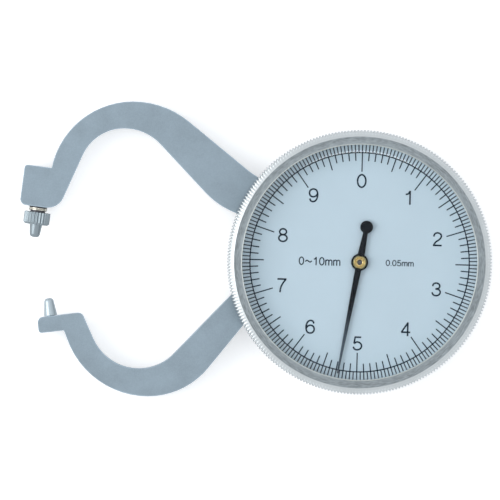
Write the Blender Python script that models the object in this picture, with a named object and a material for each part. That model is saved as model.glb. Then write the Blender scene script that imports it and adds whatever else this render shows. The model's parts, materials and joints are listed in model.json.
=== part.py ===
"""Dial caliper gauge with two curved measuring arms, lying on its back.

Units are metres. The dial axis is Z, the centre of the back plate's back face is the origin,
and +Z is the side that the dial faces. The fixed arm and the swinging arm reach out to -X.
The swinging arm turns about the pivot and a toothed sector on it drives the pointer.
"""

import math

import bmesh
import bpy
from mathutils import Matrix, Vector

# Clearances
GAP = 0.0003
OVERRUN = 0.0010
BACKLASH = 0.00010

# Case and back plate
CASE_RADIUS = 0.0269
CASE_WALL = 0.0032
BACK_THICKNESS = 0.0020
BACK_EDGE_CHAMFER = 0.0002
BACK_SCREW_ANGLES = (45.0, 120.0, 240.0, 315.0)

# Arms
ARM_THICKNESS = 0.0050
PIVOT_ANGLE = 146.12
PIVOT_WALL_GAP = 0.0010
PIVOT_PIN_RADIUS = 0.0015
PIVOT_BUSH_WALL = 0.0005
PIVOT_HEAD_RADIUS = 0.0024
PIVOT_NUT_RADIUS = 0.0028
PIVOT_NUT_HEIGHT = 0.0009
FRICTION_WASHER_RADIUS = 0.0032
FRICTION_WASHER_THICKNESS = 0.0004

# Layout inside the case, in shares of the radius of its bore
TRAIN_DISTANCE_SHARE = 0.38
PILLAR_PLACE_SHARES = ((-0.338, -0.359), (0.401, 0.633), (0.759, -0.127))
HUB_SHARE = 0.2194

# Fixed arm, from the screwed root to the anvil block, with places measured from the pivot
FIXED_CROWN_X = -0.03366
FIXED_OUTER_CROWN_Y = 0.02455
FIXED_OUTER_TIP_RADIUS = 0.01833
FIXED_OUTER_ROOT_RADIUS = 0.01936
FIXED_OUTER_SLOPE = 39.5
FIXED_INNER_CROWN_X = -0.03564
FIXED_INNER_CROWN_Y = 0.01860
FIXED_INNER_TIP_RADIUS = 0.0100
FIXED_INNER_ROOT_RADIUS = 0.0110
FIXED_INNER_SLOPE = 47.1
FIXED_INNER_LEAN = 23.9
FIXED_NECK_LENGTH = 0.0146
FIXED_NECK_FILLET = 0.0176
FIXED_NECK_SLOPE = 19.9
FIXED_ROOT_FILLET = 0.0140
FIXED_ROOT_PLACE_SHARES = ((1.748, -1.129), (1.556, 1.371))
FIXED_ROOT_CORNER_SHARE = 0.423
FOOT_START_ANGLE = 320.0
FOOT_END_ANGLE = 183.0
ARM_SCREW_PLACE_SHARES = ((1.037, 0.852), (1.267, -0.437))
ARM_SCREW_REACH = 0.0035

# Fixed arm's anvil block
FIXED_BLOCK_X = -0.05456
FIXED_BLOCK_Y = 0.00136
FIXED_BLOCK_TILT = -7.5
FIXED_BLOCK_LEFT = 0.00415
FIXED_BLOCK_RIGHT = 0.0044
FIXED_BLOCK_HEIGHT = 0.00887
FIXED_BLOCK_SHOULDER = 0.00172
BLOCK_EDGE_RADIUS = 0.0007
BLOCK_NOSE_RADIUS = 0.0013
FIXED_BLOCK_HEEL_RADIUS = 0.0037

# Swinging arm, from the hub to the anvil block, with places measured from the pivot
MOVING_OUTER_CROWN_X = -0.03036
MOVING_OUTER_CROWN_Y = -0.04050
MOVING_OUTER_TIP_RADIUS = 0.01892
MOVING_OUTER_ROOT_RADIUS = 0.01718
MOVING_OUTER_SLOPE = 50.9
MOVING_INNER_CROWN_X = -0.03234
MOVING_INNER_CROWN_Y = -0.03434
MOVING_INNER_TIP_RADIUS = 0.0110
MOVING_INNER_ROOT_RADIUS = 0.01067
MOVING_INNER_SLOPE = 48.1
MOVING_INNER_LEAN = 24.2
MOVING_OUTER_BEND_X = -0.00281
MOVING_OUTER_BEND_Y = -0.01677
MOVING_INNER_BEND_X = -0.00681
MOVING_INNER_BEND_Y = -0.01277
MOVING_BEND_FILLET = 0.0080
MOVING_HUB_START_ANGLE = 333.5
MOVING_HUB_END_ANGLE = 205.0

# Swinging arm's anvil block
MOVING_BLOCK_X = -0.05191
MOVING_BLOCK_Y = -0.02277
MOVING_BLOCK_TILT = 6.7
MOVING_BLOCK_LEFT = 0.00297
MOVING_BLOCK_RIGHT = 0.0070
MOVING_BLOCK_HEIGHT = 0.0035
MOVING_BLOCK_NOTCH = 0.0026

# Swing of the arm away from the photographed opening, in degrees
SWING_CLOSED = -14.0
SWING_OPEN = 1.8

# Adjustable upper anvil
ANVIL_NECK_RADIUS = 0.00202
ANVIL_NECK_HEIGHT = 0.00077
ANVIL_NECK_HIDDEN = 0.0005
ANVIL_GROOVE_RADIUS = 0.00165
ANVIL_GROOVE_HEIGHT = 0.00033
ANVIL_COLLAR_RADIUS = 0.00287
ANVIL_COLLAR_HEIGHT = 0.0026
ANVIL_COLLAR_RIBS = 22
ANVIL_RIB_DEPTH = 0.00015
ANVIL_COLLAR_BEVEL = 0.0003
ANVIL_TIP_LENGTH = 0.00275
ANVIL_TIP_BASE_RADIUS = 0.00133
ANVIL_TIP_END_RADIUS = 0.00105
ANVIL_SHANK_RADIUS = 0.0012
ANVIL_SHANK_LENGTH = 0.0045
ANVIL_TRAVEL = 0.0008
FRICTION_RING_THICKNESS = 0.0005

# Plain lower anvil
LOWER_ANVIL_HEIGHT = 0.00396
LOWER_ANVIL_BASE_RADIUS = 0.00145
LOWER_ANVIL_END_RADIUS = 0.00095
LOWER_ANVIL_SHANK_RADIUS = 0.0009
LOWER_ANVIL_SHANK_LENGTH = 0.0022

# Gear train: the sector turns the intermediate pinion, whose wheel turns the centre pinion
SECTOR_TEETH = 105
SECTOR_PINION_TEETH = 15
WHEEL_TEETH = 60
CENTRE_PINION_TEETH = 12
ADDENDUM_SHARE = 0.70
DEDENDUM_SHARE = 0.90
PRESSURE_ANGLE = 20.0
INTERMEDIATE_ANGLE = 108.76
TAKEUP_ANGLE = -40.0
SECTOR_THICKNESS = 0.0010
SECTOR_RIM = 0.00218
SECTOR_HUB_RADIUS = 0.0039
SECTOR_WINDOW_GAP = 0.0005
SECTOR_RAIL = 6.6
SECTOR_SCREW_RADIUS_SHARES = (1.192, 1.25)
SECTOR_SCREW_ANGLES = (240.0, 275.0)
SECTOR_LOBE_RADIUS = 0.0019
WHEEL_THICKNESS = 0.0008
WHEEL_HOLES = 4
WHEEL_HOLE_SHARE = 0.187
WHEEL_HOLE_PLACE_SHARE = 0.58
PINION_OVERHANG = 0.0002
CENTRE_PINION_OVERHANG = 0.0001
ARBOR_RADIUS = 0.00075
TAKEUP_ARBOR_RADIUS = 0.0009
ARBOR_PIVOT_RADIUS = 0.0003
ARBOR_PIVOT_LENGTH = 0.0008
CENTRE_JOURNAL_RADIUS = 0.0005
BUSH_WALL = 0.0004

# Movement plates
PLATE_THICKNESS = 0.0012
BRIDGE_THICKNESS = 0.0010
PILLAR_RADIUS = 0.0018
PLATE_BOSS_WALL = 0.0012
PLATE_NECK_WALL = 0.0010
SECTOR_HEADROOM = 0.0011
WHEEL_HEADROOM = 0.0005
BRIDGE_HEADROOM = 0.0008

# Hairspring that keeps the teeth against one flank
HAIRSPRING_TURNS = 4.25
HAIRSPRING_PITCH = 0.00085
HAIRSPRING_STRIP = 0.00025
HAIRSPRING_HEIGHT = 0.0005
HAIRSPRING_LIFT = 0.0011
STUD_RADIUS = 0.0005

# Screws
SCREW_RADIUS = 0.0006
SCREW_HEAD_RADIUS = 0.0011
SCREW_HEAD_HEIGHT = 0.0007
SCREW_SLOT_WIDTH = 0.0003
SCREW_SLOT_DEPTH = 0.0003
BACK_SCREW_REACH = 0.0040
SCREW_TIP_GAP = 0.0005

# Bezel, crystal and dial
BEZEL_WALL = 0.0018
BEZEL_EDGE_CHAMFER = 0.0005
BEZEL_SHOULDER_WIDTH = 0.0013
BEZEL_SHOULDER_DROP = 0.0005
BEZEL_KNURL_DROP = 0.0022
BEZEL_SKIRT_OVERLAP = 0.0027
BEZEL_LEDGE = 0.0006
BEZEL_LIP_OVERLAP = 0.0004
BEZEL_LIP_THICKNESS = 0.0006
BEZEL_LIP_EDGE = 0.0003
SPRING_DROP = 0.0012
SPRING_WIDTH = 0.0013
SPRING_HEIGHT = 0.0006
SPRING_GROOVE_DEPTH = 0.0008
CLAMP_LIFT = 0.0006
CLAMP_THICKNESS = 0.0004
CLAMP_WIDTH = 0.0016
CLAMP_GROOVE_DEPTH = 0.0005
RING_SPLIT_HALF_ANGLE = 4.0
DIAL_THICKNESS = 0.0005
DIAL_HOLE_RADIUS = 0.0011
SPACER_HEIGHT = 0.0016
CRYSTAL_THICKNESS = 0.0012

# Pointer
POINTER_ANGLE = 191.3
POINTER_END_GAP = 0.0017
POINTER_ROOT_WIDTH = 0.00133
POINTER_END_WIDTH = 0.0004
POINTER_TAIL_LENGTH = 0.0079
POINTER_TAIL_ROOT_WIDTH = 0.0013
POINTER_TAIL_END_WIDTH = 0.0008
POINTER_WEIGHT_RADIUS = 0.00133
POINTER_HUB_RADIUS = 0.00188
POINTER_THICKNESS = 0.00035
POINTER_LIFT = 0.0006
POINTER_CAP_RADIUS = 0.00148
POINTER_CAP_WALL = 0.0003
POINTER_CAP_HEIGHT = 0.0015
POINTER_CAP_DOME = 0.0005

# Facets
RING_SEGMENTS = 48
SMALL_SEGMENTS = 12
SCREW_SEGMENTS = 10
ARC_STEP = 6.0

# Outlines are filled this many times larger, because the fill merges points that lie very close
FILL_SCALE = 1000.0

# Heights, bottom to top
ARM_BOTTOM = BACK_THICKNESS + GAP
ARM_TOP = ARM_BOTTOM + ARM_THICKNESS
ARM_MIDDLE = (ARM_BOTTOM + ARM_TOP) / 2
LAP_LOW = ARM_MIDDLE - GAP / 2
LAP_HIGH = ARM_MIDDLE + GAP / 2
SECTOR_BOTTOM = ARM_TOP + GAP
SECTOR_TOP = SECTOR_BOTTOM + SECTOR_THICKNESS
PLATE_TOP = SECTOR_BOTTOM - SECTOR_HEADROOM
PLATE_BOTTOM = PLATE_TOP - PLATE_THICKNESS
WHEEL_BOTTOM = SECTOR_TOP + WHEEL_HEADROOM
WHEEL_TOP = WHEEL_BOTTOM + WHEEL_THICKNESS
BRIDGE_BOTTOM = WHEEL_TOP + BRIDGE_HEADROOM
BRIDGE_TOP = BRIDGE_BOTTOM + BRIDGE_THICKNESS
CASE_TOP = BRIDGE_TOP
LEDGE_HEIGHT = CASE_TOP + GAP
CLAMP_BOTTOM = LEDGE_HEIGHT + CLAMP_LIFT
CLAMP_TOP = CLAMP_BOTTOM + CLAMP_THICKNESS
DIAL_BOTTOM = CLAMP_TOP + GAP
DIAL_TOP = DIAL_BOTTOM + DIAL_THICKNESS
SPACER_BOTTOM = DIAL_TOP + GAP
SPACER_TOP = SPACER_BOTTOM + SPACER_HEIGHT
CRYSTAL_BOTTOM = SPACER_TOP + GAP
CRYSTAL_TOP = CRYSTAL_BOTTOM + CRYSTAL_THICKNESS
LIP_BOTTOM = CRYSTAL_TOP + GAP
BEZEL_TOP = LIP_BOTTOM + BEZEL_LIP_THICKNESS
BEZEL_BOTTOM = CASE_TOP - BEZEL_SKIRT_OVERLAP
POINTER_BOTTOM = DIAL_TOP + POINTER_LIFT
HEAD_BOTTOM = GAP
HEAD_TOP = HEAD_BOTTOM + SCREW_HEAD_HEIGHT
HEAD_SEAT = HEAD_TOP + GAP

# Radii that follow from the sizes above
CASE_INNER = CASE_RADIUS - CASE_WALL
SKIRT_INNER = CASE_RADIUS + GAP
BEZEL_BORE = SKIRT_INNER - BEZEL_LEDGE
GLASS_RADIUS = BEZEL_BORE - GAP
BEZEL_RADIUS = SKIRT_INNER + BEZEL_WALL
BEZEL_SHOULDER_RADIUS = BEZEL_RADIUS - BEZEL_SHOULDER_WIDTH
BEZEL_LIP_RADIUS = GLASS_RADIUS - BEZEL_LIP_OVERLAP
BEZEL_FACE_RADIUS = BEZEL_LIP_RADIUS + BEZEL_LIP_EDGE
POINTER_LENGTH = BEZEL_LIP_RADIUS - POINTER_END_GAP
HUB_RADIUS = CASE_INNER * HUB_SHARE
FIXED_ROOT_CORNER = HUB_RADIUS * FIXED_ROOT_CORNER_SHARE
SCREW_HOLE = SCREW_RADIUS + GAP
PIVOT_HOLE = PIVOT_PIN_RADIUS + GAP
PIVOT_BUSH_RADIUS = PIVOT_HOLE + PIVOT_BUSH_WALL


# Places in the plane

def polar(centre, radius, degrees):
    """Return the point at a radius and an angle from a centre."""
    angle = math.radians(degrees)
    return (centre[0] + radius * math.cos(angle), centre[1] + radius * math.sin(angle))


def direction_of(start, end):
    """Return the angle of the line from one point to another, in degrees."""
    return math.degrees(math.atan2(end[1] - start[1], end[0] - start[0]))


def from_pivot(x, y):
    """Return the place of a point that is measured from the pivot."""
    return (PIVOT[0] + x, PIVOT[1] + y)


# Places that follow from the sizes above
DIAL_AXIS = (0.0, 0.0)
PIVOT = polar(DIAL_AXIS, CASE_INNER - FRICTION_WASHER_RADIUS - PIVOT_WALL_GAP, PIVOT_ANGLE)
TRAIN_DISTANCE = CASE_INNER * TRAIN_DISTANCE_SHARE
INTERMEDIATE = polar(DIAL_AXIS, TRAIN_DISTANCE, INTERMEDIATE_ANGLE)
TAKEUP = polar(DIAL_AXIS, TRAIN_DISTANCE, TAKEUP_ANGLE)
PILLAR_PLACES = [(CASE_INNER * x, CASE_INNER * y) for x, y in PILLAR_PLACE_SHARES]
ARM_SCREW_PLACES = [from_pivot(HUB_RADIUS * x, HUB_RADIUS * y) for x, y in ARM_SCREW_PLACE_SHARES]

# Teeth, whose modules follow from the distances between the axes
SECTOR_DISTANCE = math.dist(PIVOT, INTERMEDIATE)
SECTOR_MODULE = SECTOR_DISTANCE * 2 / (SECTOR_TEETH - SECTOR_PINION_TEETH)
WHEEL_MODULE = TRAIN_DISTANCE * 2 / (WHEEL_TEETH + CENTRE_PINION_TEETH)
SECTOR_DIRECTION = direction_of(PIVOT, INTERMEDIATE)
SECTOR_CUTOUT = SECTOR_MODULE * (SECTOR_PINION_TEETH / 2 + ADDENDUM_SHARE) + SECTOR_WINDOW_GAP
SECTOR_WINDOW_RADIUS = SECTOR_DISTANCE - SECTOR_CUTOUT
SECTOR_WINDOW_MARGIN = math.degrees(math.asin(SECTOR_CUTOUT / SECTOR_DISTANCE))
SECTOR_WINDOW_START = SECTOR_DIRECTION - SWING_OPEN - SECTOR_WINDOW_MARGIN
SECTOR_WINDOW_END = SECTOR_DIRECTION - SWING_CLOSED + SECTOR_WINDOW_MARGIN


# Outlines in the plane

def arc(centre, radius, start, end):
    """Return points along an arc, both ends included."""
    steps = max(2, math.ceil(abs(end - start) / ARC_STEP))
    return [polar(centre, radius, start + (end - start) * i / steps) for i in range(steps + 1)]


def circle(centre, radius, segments):
    """Return the corners of a regular polygon."""
    return [polar(centre, radius, 360.0 * i / segments) for i in range(segments)]


def rounded(corners):
    """Return an outline whose corners, given as (x, y, radius), are rounded off."""
    points = []
    for index, (x, y, radius) in enumerate(corners):
        here = Vector((x, y))
        if radius == 0:
            points.append((x, y))
            continue
        before = Vector(corners[index - 1][:2]) - here
        after = Vector(corners[(index + 1) % len(corners)][:2]) - here
        half = before.angle(after) / 2
        room = min(before.length, after.length) * math.tan(half)
        size = min(radius, room)
        middle = here + (before.normalized() + after.normalized()).normalized() * (
            size / math.sin(half))
        first = here + before.normalized() * (size / math.tan(half)) - middle
        last = here + after.normalized() * (size / math.tan(half)) - middle
        start = math.degrees(math.atan2(first.y, first.x))
        turn = math.degrees(math.atan2(first.x * last.y - first.y * last.x, first.dot(last)))
        points += arc(middle, size, start, start + turn)
    return points


def plain(points):
    """Mark points as corners that stay sharp."""
    return [(x, y, 0) for x, y in points]


def hull(points):
    """Return the band drawn tight round some points."""
    points = sorted(set(points))
    halves = []
    for row in (points, points[::-1]):
        half = []
        for point in row:
            while len(half) > 1 and turn_of(half[-2], half[-1], point) <= 0:
                half.pop()
            half.append(point)
        halves += half[:-1]
    return halves


def turn_of(a, b, c):
    """Return twice the signed area of a triangle."""
    return (b[0] - a[0]) * (c[1] - a[1]) - (b[1] - a[1]) * (c[0] - a[0])


def shifted(centre, tilt, along, up):
    """Return a point given along and up from a centre, in axes tilted by some degrees."""
    angle = math.radians(tilt)
    return (centre[0] + along * math.cos(angle) - up * math.sin(angle),
            centre[1] + along * math.sin(angle) + up * math.cos(angle))


def involute(angle):
    """Return the involute function of a pressure angle in radians."""
    return math.tan(angle) - angle


def flank_angle(teeth, module, radius, thinner):
    """Return the half angle of an involute tooth at a radius."""
    pitch_radius = module * teeth / 2
    pressure = math.radians(PRESSURE_ANGLE)
    base = pitch_radius * math.cos(pressure)
    at_radius = math.acos(min(1.0, base / max(base, radius)))
    half = math.pi / (2 * teeth) - thinner / (2 * pitch_radius)
    return half + involute(pressure) - involute(at_radius)


def gear_outline(centre, teeth, module, phase, steps):
    """Return the outline of a gear with one tooth centred at the phase angle, in degrees."""
    pitch_radius = module * teeth / 2
    root = pitch_radius - DEDENDUM_SHARE * module
    tip = pitch_radius + ADDENDUM_SHARE * module
    points = []
    for tooth in range(teeth):
        middle = phase + 360.0 * tooth / teeth
        radii = [root + (tip - root) * i / steps for i in range(steps + 1)]
        halves = [math.degrees(flank_angle(teeth, module, r, BACKLASH / 2)) for r in radii]
        points += [polar(centre, r, middle - h) for r, h in zip(radii, halves)]
        points += [polar(centre, r, middle + h) for r, h in zip(radii[::-1], halves[::-1])]
    return points


def meshed_phase(teeth, phase, direction, other_teeth):
    """Return the tooth angle of a gear that meshes with another one, lying that way from it."""
    return direction + 180.0 + (180.0 - teeth * (phase - direction)) / other_teeth


# Solids

def add_object(name, mesh, material):
    """Link a mesh into the scene as a named object with one material."""
    made = bpy.data.objects.new(name, mesh)
    bpy.context.scene.collection.objects.link(made)
    if material is not None:
        made.data.materials.append(material)
    return made


def finish_mesh(name, bm):
    """Turn an edited mesh into a closed mesh with its faces pointing out."""
    bmesh.ops.recalc_face_normals(bm, faces=bm.faces)
    mesh = bpy.data.meshes.new(name)
    bm.to_mesh(mesh)
    bm.free()
    return mesh


def prism(name, loops, bottom, top, material=None):
    """Make a plate from an outer outline and any holes, between two heights."""
    bm = bmesh.new()
    edges = []
    for loop in loops:
        corners = [bm.verts.new((x * FILL_SCALE, y * FILL_SCALE, 0)) for x, y in loop]
        edges += [bm.edges.new((a, b)) for a, b in zip(corners, corners[1:] + corners[:1])]
    bmesh.ops.triangle_fill(bm, use_beauty=True, edges=edges, normal=(0, 0, 1))
    bmesh.ops.scale(bm, verts=bm.verts, vec=(1 / FILL_SCALE, 1 / FILL_SCALE, 1))
    bmesh.ops.translate(bm, verts=bm.verts, vec=(0, 0, bottom))
    raised = bmesh.ops.extrude_face_region(bm, geom=list(bm.faces))["geom"]
    corners = [item for item in raised if isinstance(item, bmesh.types.BMVert)]
    bmesh.ops.translate(bm, verts=corners, vec=(0, 0, top - bottom))
    return add_object(name, finish_mesh(name, bm), material)


def turned(name, profile, segments, material=None, centre=DIAL_AXIS):
    """Make a body of revolution about a vertical axis from a closed profile of (radius, height)."""
    bm = bmesh.new()
    corners = [bm.verts.new((radius, 0, height)) for radius, height in profile]
    pairs = list(zip(corners, corners[1:] + corners[:1]))
    on_axis = [profile[i][0] == 0 and profile[(i + 1) % len(profile)][0] == 0
               for i in range(len(profile))]
    edges = [bm.edges.new(pair) for pair, skip in zip(pairs, on_axis) if not skip]
    bmesh.ops.spin(bm, geom=corners + edges, cent=(0, 0, 0), axis=(0, 0, 1), dvec=(0, 0, 0),
                   angle=math.tau, steps=segments, use_merge=True, use_duplicate=False)
    bmesh.ops.remove_doubles(bm, verts=bm.verts, dist=GAP / 1000)
    made = add_object(name, finish_mesh(name, bm), material)
    made.data.shade_smooth()
    made.data.set_sharp_from_angle(angle=math.radians(30))
    made.location = (centre[0], centre[1], 0)
    return made


def tube(name, centre, outer, inner, bottom, top, segments, material):
    """Make a straight tube on a vertical axis."""
    profile = [(inner, bottom), (outer, bottom), (outer, top), (inner, top)]
    return turned(name, profile, segments, material, centre)


def as_tool(tool):
    """Mark an object as a hidden helper of a Boolean."""
    tool.hide_render = True
    tool.display_type = "WIRE"
    return tool


def combine(target, tool, operation):
    """Cut or join a body with a helper solid."""
    modifier = target.modifiers.new(operation.lower(), "BOOLEAN")
    modifier.operation = operation
    modifier.solver = "EXACT"
    modifier.object = as_tool(tool)


def drill(target, centre, radius, bottom, top, segments=SMALL_SEGMENTS):
    """Cut a round vertical hole between two heights."""
    name = f"{target.name}_drill_{len(target.modifiers)}"
    combine(target, prism(name, [circle(centre, radius, segments)], bottom, top), "DIFFERENCE")


def counterbore(target, centre, head_radius, hole_radius):
    """Cut a screw's stepped hole through the back plate, wide end underneath."""
    profile = [(0, -OVERRUN), (head_radius, -OVERRUN), (head_radius, HEAD_SEAT),
               (hole_radius, HEAD_SEAT), (hole_radius, BACK_THICKNESS + OVERRUN),
               (0, BACK_THICKNESS + OVERRUN)]
    name = f"{target.name}_counterbore_{len(target.modifiers)}"
    combine(target, turned(name, profile, SCREW_SEGMENTS, None, centre), "DIFFERENCE")


def put_origin(made, place):
    """Move an object's origin to a point and leave its surface where it was."""
    offset = Vector((place[0], place[1], 0))
    made.data.transform(Matrix.Translation(-offset))
    made.location += offset


def lay_on_axis(made, x, y, tilt):
    """Turn a body onto a flat axis that leans by some degrees from +Y, placed from the pivot."""
    made.location = (*from_pivot(x, y), ARM_MIDDLE)
    made.rotation_euler = (math.radians(-90), 0, math.radians(tilt))


# Materials

def material(name, colour, roughness, metallic):
    """Make a plain Principled material."""
    made = bpy.data.materials.new(name)
    made.use_nodes = True
    shader = made.node_tree.nodes["Principled BSDF"]
    shader.inputs["Base Color"].default_value = (*colour, 1.0)
    shader.inputs["Roughness"].default_value = roughness
    shader.inputs["Metallic"].default_value = metallic
    return made


def satin_chrome():
    """Satin plated steel of the arms."""
    return material("satin_chrome", (0.33, 0.41, 0.48), 0.42, 1.0)


def bright_chrome():
    """Bright plated steel of the bezel and the anvils."""
    return material("bright_chrome", (0.62, 0.65, 0.66), 0.22, 1.0)


def case_metal():
    """Painted metal of the case and the back plate."""
    return material("case_metal", (0.30, 0.33, 0.36), 0.45, 0.8)


def plate_brass():
    """Brass of the movement plates, wheels and pointer cap."""
    return material("brass", (0.60, 0.44, 0.16), 0.30, 1.0)


def dark_steel():
    """Bare steel of screws, arbors and springs."""
    return material("screw_steel", (0.30, 0.30, 0.31), 0.35, 1.0)


def dial_paint():
    """Pale blue-grey paint of the dial."""
    return material("dial_paint", (0.53, 0.66, 0.77), 0.55, 0.0)


def pointer_black():
    """Black lacquer of the pointer."""
    return material("pointer_black", (0.010, 0.012, 0.015), 0.40, 0.0)


def clear_plastic():
    """Clear crystal over the dial."""
    return material("crystal", (0.92, 0.96, 0.97), 0.05, 0.0)


def spacer_plastic():
    """Pale spacer ring under the crystal."""
    return material("spacer", (0.60, 0.66, 0.68), 0.50, 0.0)


# Arms

def fixed_arm_outline():
    """Return the fixed arm's outline, from the anvil block round to the screwed root."""
    block = from_pivot(FIXED_BLOCK_X, FIXED_BLOCK_Y)
    outer = from_pivot(FIXED_CROWN_X, FIXED_OUTER_CROWN_Y)
    outer_tip = (outer[0], outer[1] - FIXED_OUTER_TIP_RADIUS)
    outer_root = (outer[0], outer[1] - FIXED_OUTER_ROOT_RADIUS)
    inner = from_pivot(FIXED_INNER_CROWN_X, FIXED_INNER_CROWN_Y)
    inner_tip = (inner[0], inner[1] - FIXED_INNER_TIP_RADIUS)
    inner_root = (inner[0], inner[1] - FIXED_INNER_ROOT_RADIUS)
    notch = shifted(block, FIXED_BLOCK_TILT, FIXED_BLOCK_SHOULDER, FIXED_BLOCK_HEIGHT)
    top_left = shifted(block, FIXED_BLOCK_TILT, -FIXED_BLOCK_LEFT, FIXED_BLOCK_HEIGHT)
    nose = shifted(block, FIXED_BLOCK_TILT, -FIXED_BLOCK_LEFT, 0)
    heel = shifted(block, FIXED_BLOCK_TILT, FIXED_BLOCK_RIGHT, 0)
    outer_start = direction_of(outer_tip, notch)
    neck_top = polar(inner_root, FIXED_INNER_ROOT_RADIUS, 90.0 - FIXED_INNER_SLOPE)
    turn = math.radians(FIXED_INNER_SLOPE - FIXED_NECK_SLOPE) / 2
    neck = polar(neck_top, FIXED_NECK_LENGTH + FIXED_NECK_FILLET * math.tan(turn),
                 -FIXED_INNER_SLOPE)
    wall = polar(neck, FIXED_NECK_FILLET * 2 * math.tan(turn), -FIXED_NECK_SLOPE)
    fall = polar(outer_root, FIXED_OUTER_ROOT_RADIUS, 90.0 - FIXED_OUTER_SLOPE)
    shoulder = polar(fall, FIXED_NECK_LENGTH + FIXED_NECK_FILLET / 2, -FIXED_OUTER_SLOPE)
    corners = [(*top_left, BLOCK_EDGE_RADIUS), (*nose, BLOCK_NOSE_RADIUS)]
    corners += [(*heel, FIXED_BLOCK_HEEL_RADIUS)]
    corners += plain(arc(inner_tip, FIXED_INNER_TIP_RADIUS, 180.0 - FIXED_INNER_LEAN, 90.0))
    corners += plain(arc(inner_root, FIXED_INNER_ROOT_RADIUS, 90.0, 90.0 - FIXED_INNER_SLOPE)[1:])
    corners += [(*neck, FIXED_NECK_FILLET), (*wall, HUB_RADIUS)]
    corners += plain(arc(PIVOT, HUB_RADIUS, FOOT_END_ANGLE, FOOT_START_ANGLE))
    for x, y in FIXED_ROOT_PLACE_SHARES:
        corners.append((*from_pivot(HUB_RADIUS * x, HUB_RADIUS * y), FIXED_ROOT_CORNER))
    corners += [(*shoulder, FIXED_ROOT_FILLET)]
    corners += plain(arc(outer_root, FIXED_OUTER_ROOT_RADIUS, 90.0 - FIXED_OUTER_SLOPE, 90.0))
    corners += plain(arc(outer_tip, FIXED_OUTER_TIP_RADIUS, 90.0, outer_start)[1:])
    return rounded(corners)


def moving_arm_outline():
    """Return the swinging arm's outline, from the anvil block round to the hub."""
    block = from_pivot(MOVING_BLOCK_X, MOVING_BLOCK_Y)
    outer = from_pivot(MOVING_OUTER_CROWN_X, MOVING_OUTER_CROWN_Y)
    outer_tip = (outer[0], outer[1] + MOVING_OUTER_TIP_RADIUS)
    outer_root = (outer[0], outer[1] + MOVING_OUTER_ROOT_RADIUS)
    inner = from_pivot(MOVING_INNER_CROWN_X, MOVING_INNER_CROWN_Y)
    inner_tip = (inner[0], inner[1] + MOVING_INNER_TIP_RADIUS)
    inner_root = (inner[0], inner[1] + MOVING_INNER_ROOT_RADIUS)
    nose = shifted(block, MOVING_BLOCK_TILT, -MOVING_BLOCK_LEFT, 0)
    bottom_left = shifted(block, MOVING_BLOCK_TILT, -MOVING_BLOCK_LEFT, -MOVING_BLOCK_HEIGHT)
    notch = shifted(block, MOVING_BLOCK_TILT, MOVING_BLOCK_NOTCH, -MOVING_BLOCK_HEIGHT)
    heel = shifted(block, MOVING_BLOCK_TILT, MOVING_BLOCK_RIGHT, 0)
    corners = [(*heel, BLOCK_NOSE_RADIUS), (*nose, BLOCK_NOSE_RADIUS)]
    corners += [(*bottom_left, BLOCK_EDGE_RADIUS), (*notch, BLOCK_EDGE_RADIUS / 2)]
    outer_start = direction_of(outer_tip, notch) + 360.0
    corners += plain(arc(outer_tip, MOVING_OUTER_TIP_RADIUS, outer_start, 270.0)[1:])
    corners += plain(
        arc(outer_root, MOVING_OUTER_ROOT_RADIUS, 270.0, 270.0 + MOVING_OUTER_SLOPE)[1:])
    outer_bend = from_pivot(MOVING_OUTER_BEND_X, MOVING_OUTER_BEND_Y)
    inner_bend = from_pivot(MOVING_INNER_BEND_X, MOVING_INNER_BEND_Y)
    corners += [(*outer_bend, MOVING_BEND_FILLET)]
    corners += plain(arc(PIVOT, HUB_RADIUS, MOVING_HUB_START_ANGLE - 360.0, MOVING_HUB_END_ANGLE))
    corners += [(*inner_bend, MOVING_BEND_FILLET)]
    corners += plain(
        arc(inner_root, MOVING_INNER_ROOT_RADIUS, 270.0 + MOVING_INNER_SLOPE, 270.0))
    corners += plain(
        arc(inner_tip, MOVING_INNER_TIP_RADIUS, 270.0, 180.0 + MOVING_INNER_LEAN)[1:])
    return rounded(corners)


def make_fixed_arm(metal):
    """Fixed arm, whose foot is the lower half of the lap at the pivot."""
    arm = prism("fixed_arm", [fixed_arm_outline()], ARM_BOTTOM, ARM_TOP, metal)
    drill(arm, PIVOT, HUB_RADIUS + GAP, LAP_LOW, ARM_TOP + OVERRUN, 2 * SMALL_SEGMENTS)
    drill(arm, PIVOT, PIVOT_HOLE, ARM_BOTTOM - OVERRUN, LAP_LOW + OVERRUN)
    for place in ARM_SCREW_PLACES:
        drill(arm, place, SCREW_HOLE, ARM_BOTTOM - OVERRUN,
              ARM_BOTTOM + ARM_SCREW_REACH + GAP, SCREW_SEGMENTS)
    combine(arm, anvil_bore(), "DIFFERENCE")
    return arm


def anvil_bore():
    """Stepped bore in the fixed arm's block for the adjustable anvil's neck and shank."""
    wide = ANVIL_NECK_RADIUS + GAP
    narrow = ANVIL_SHANK_RADIUS + GAP
    step = ANVIL_NECK_HIDDEN + GAP + FRICTION_RING_THICKNESS + ANVIL_TRAVEL + GAP
    end = ANVIL_NECK_HIDDEN + ANVIL_SHANK_LENGTH + ANVIL_TRAVEL + GAP
    profile = [(0, -OVERRUN), (wide, -OVERRUN), (wide, step), (narrow, step), (narrow, end), (0, end)]
    bore = turned("anvil_bore", profile, SMALL_SEGMENTS)
    lay_on_axis(bore, FIXED_BLOCK_X, FIXED_BLOCK_Y, FIXED_BLOCK_TILT)
    return bore


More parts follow.
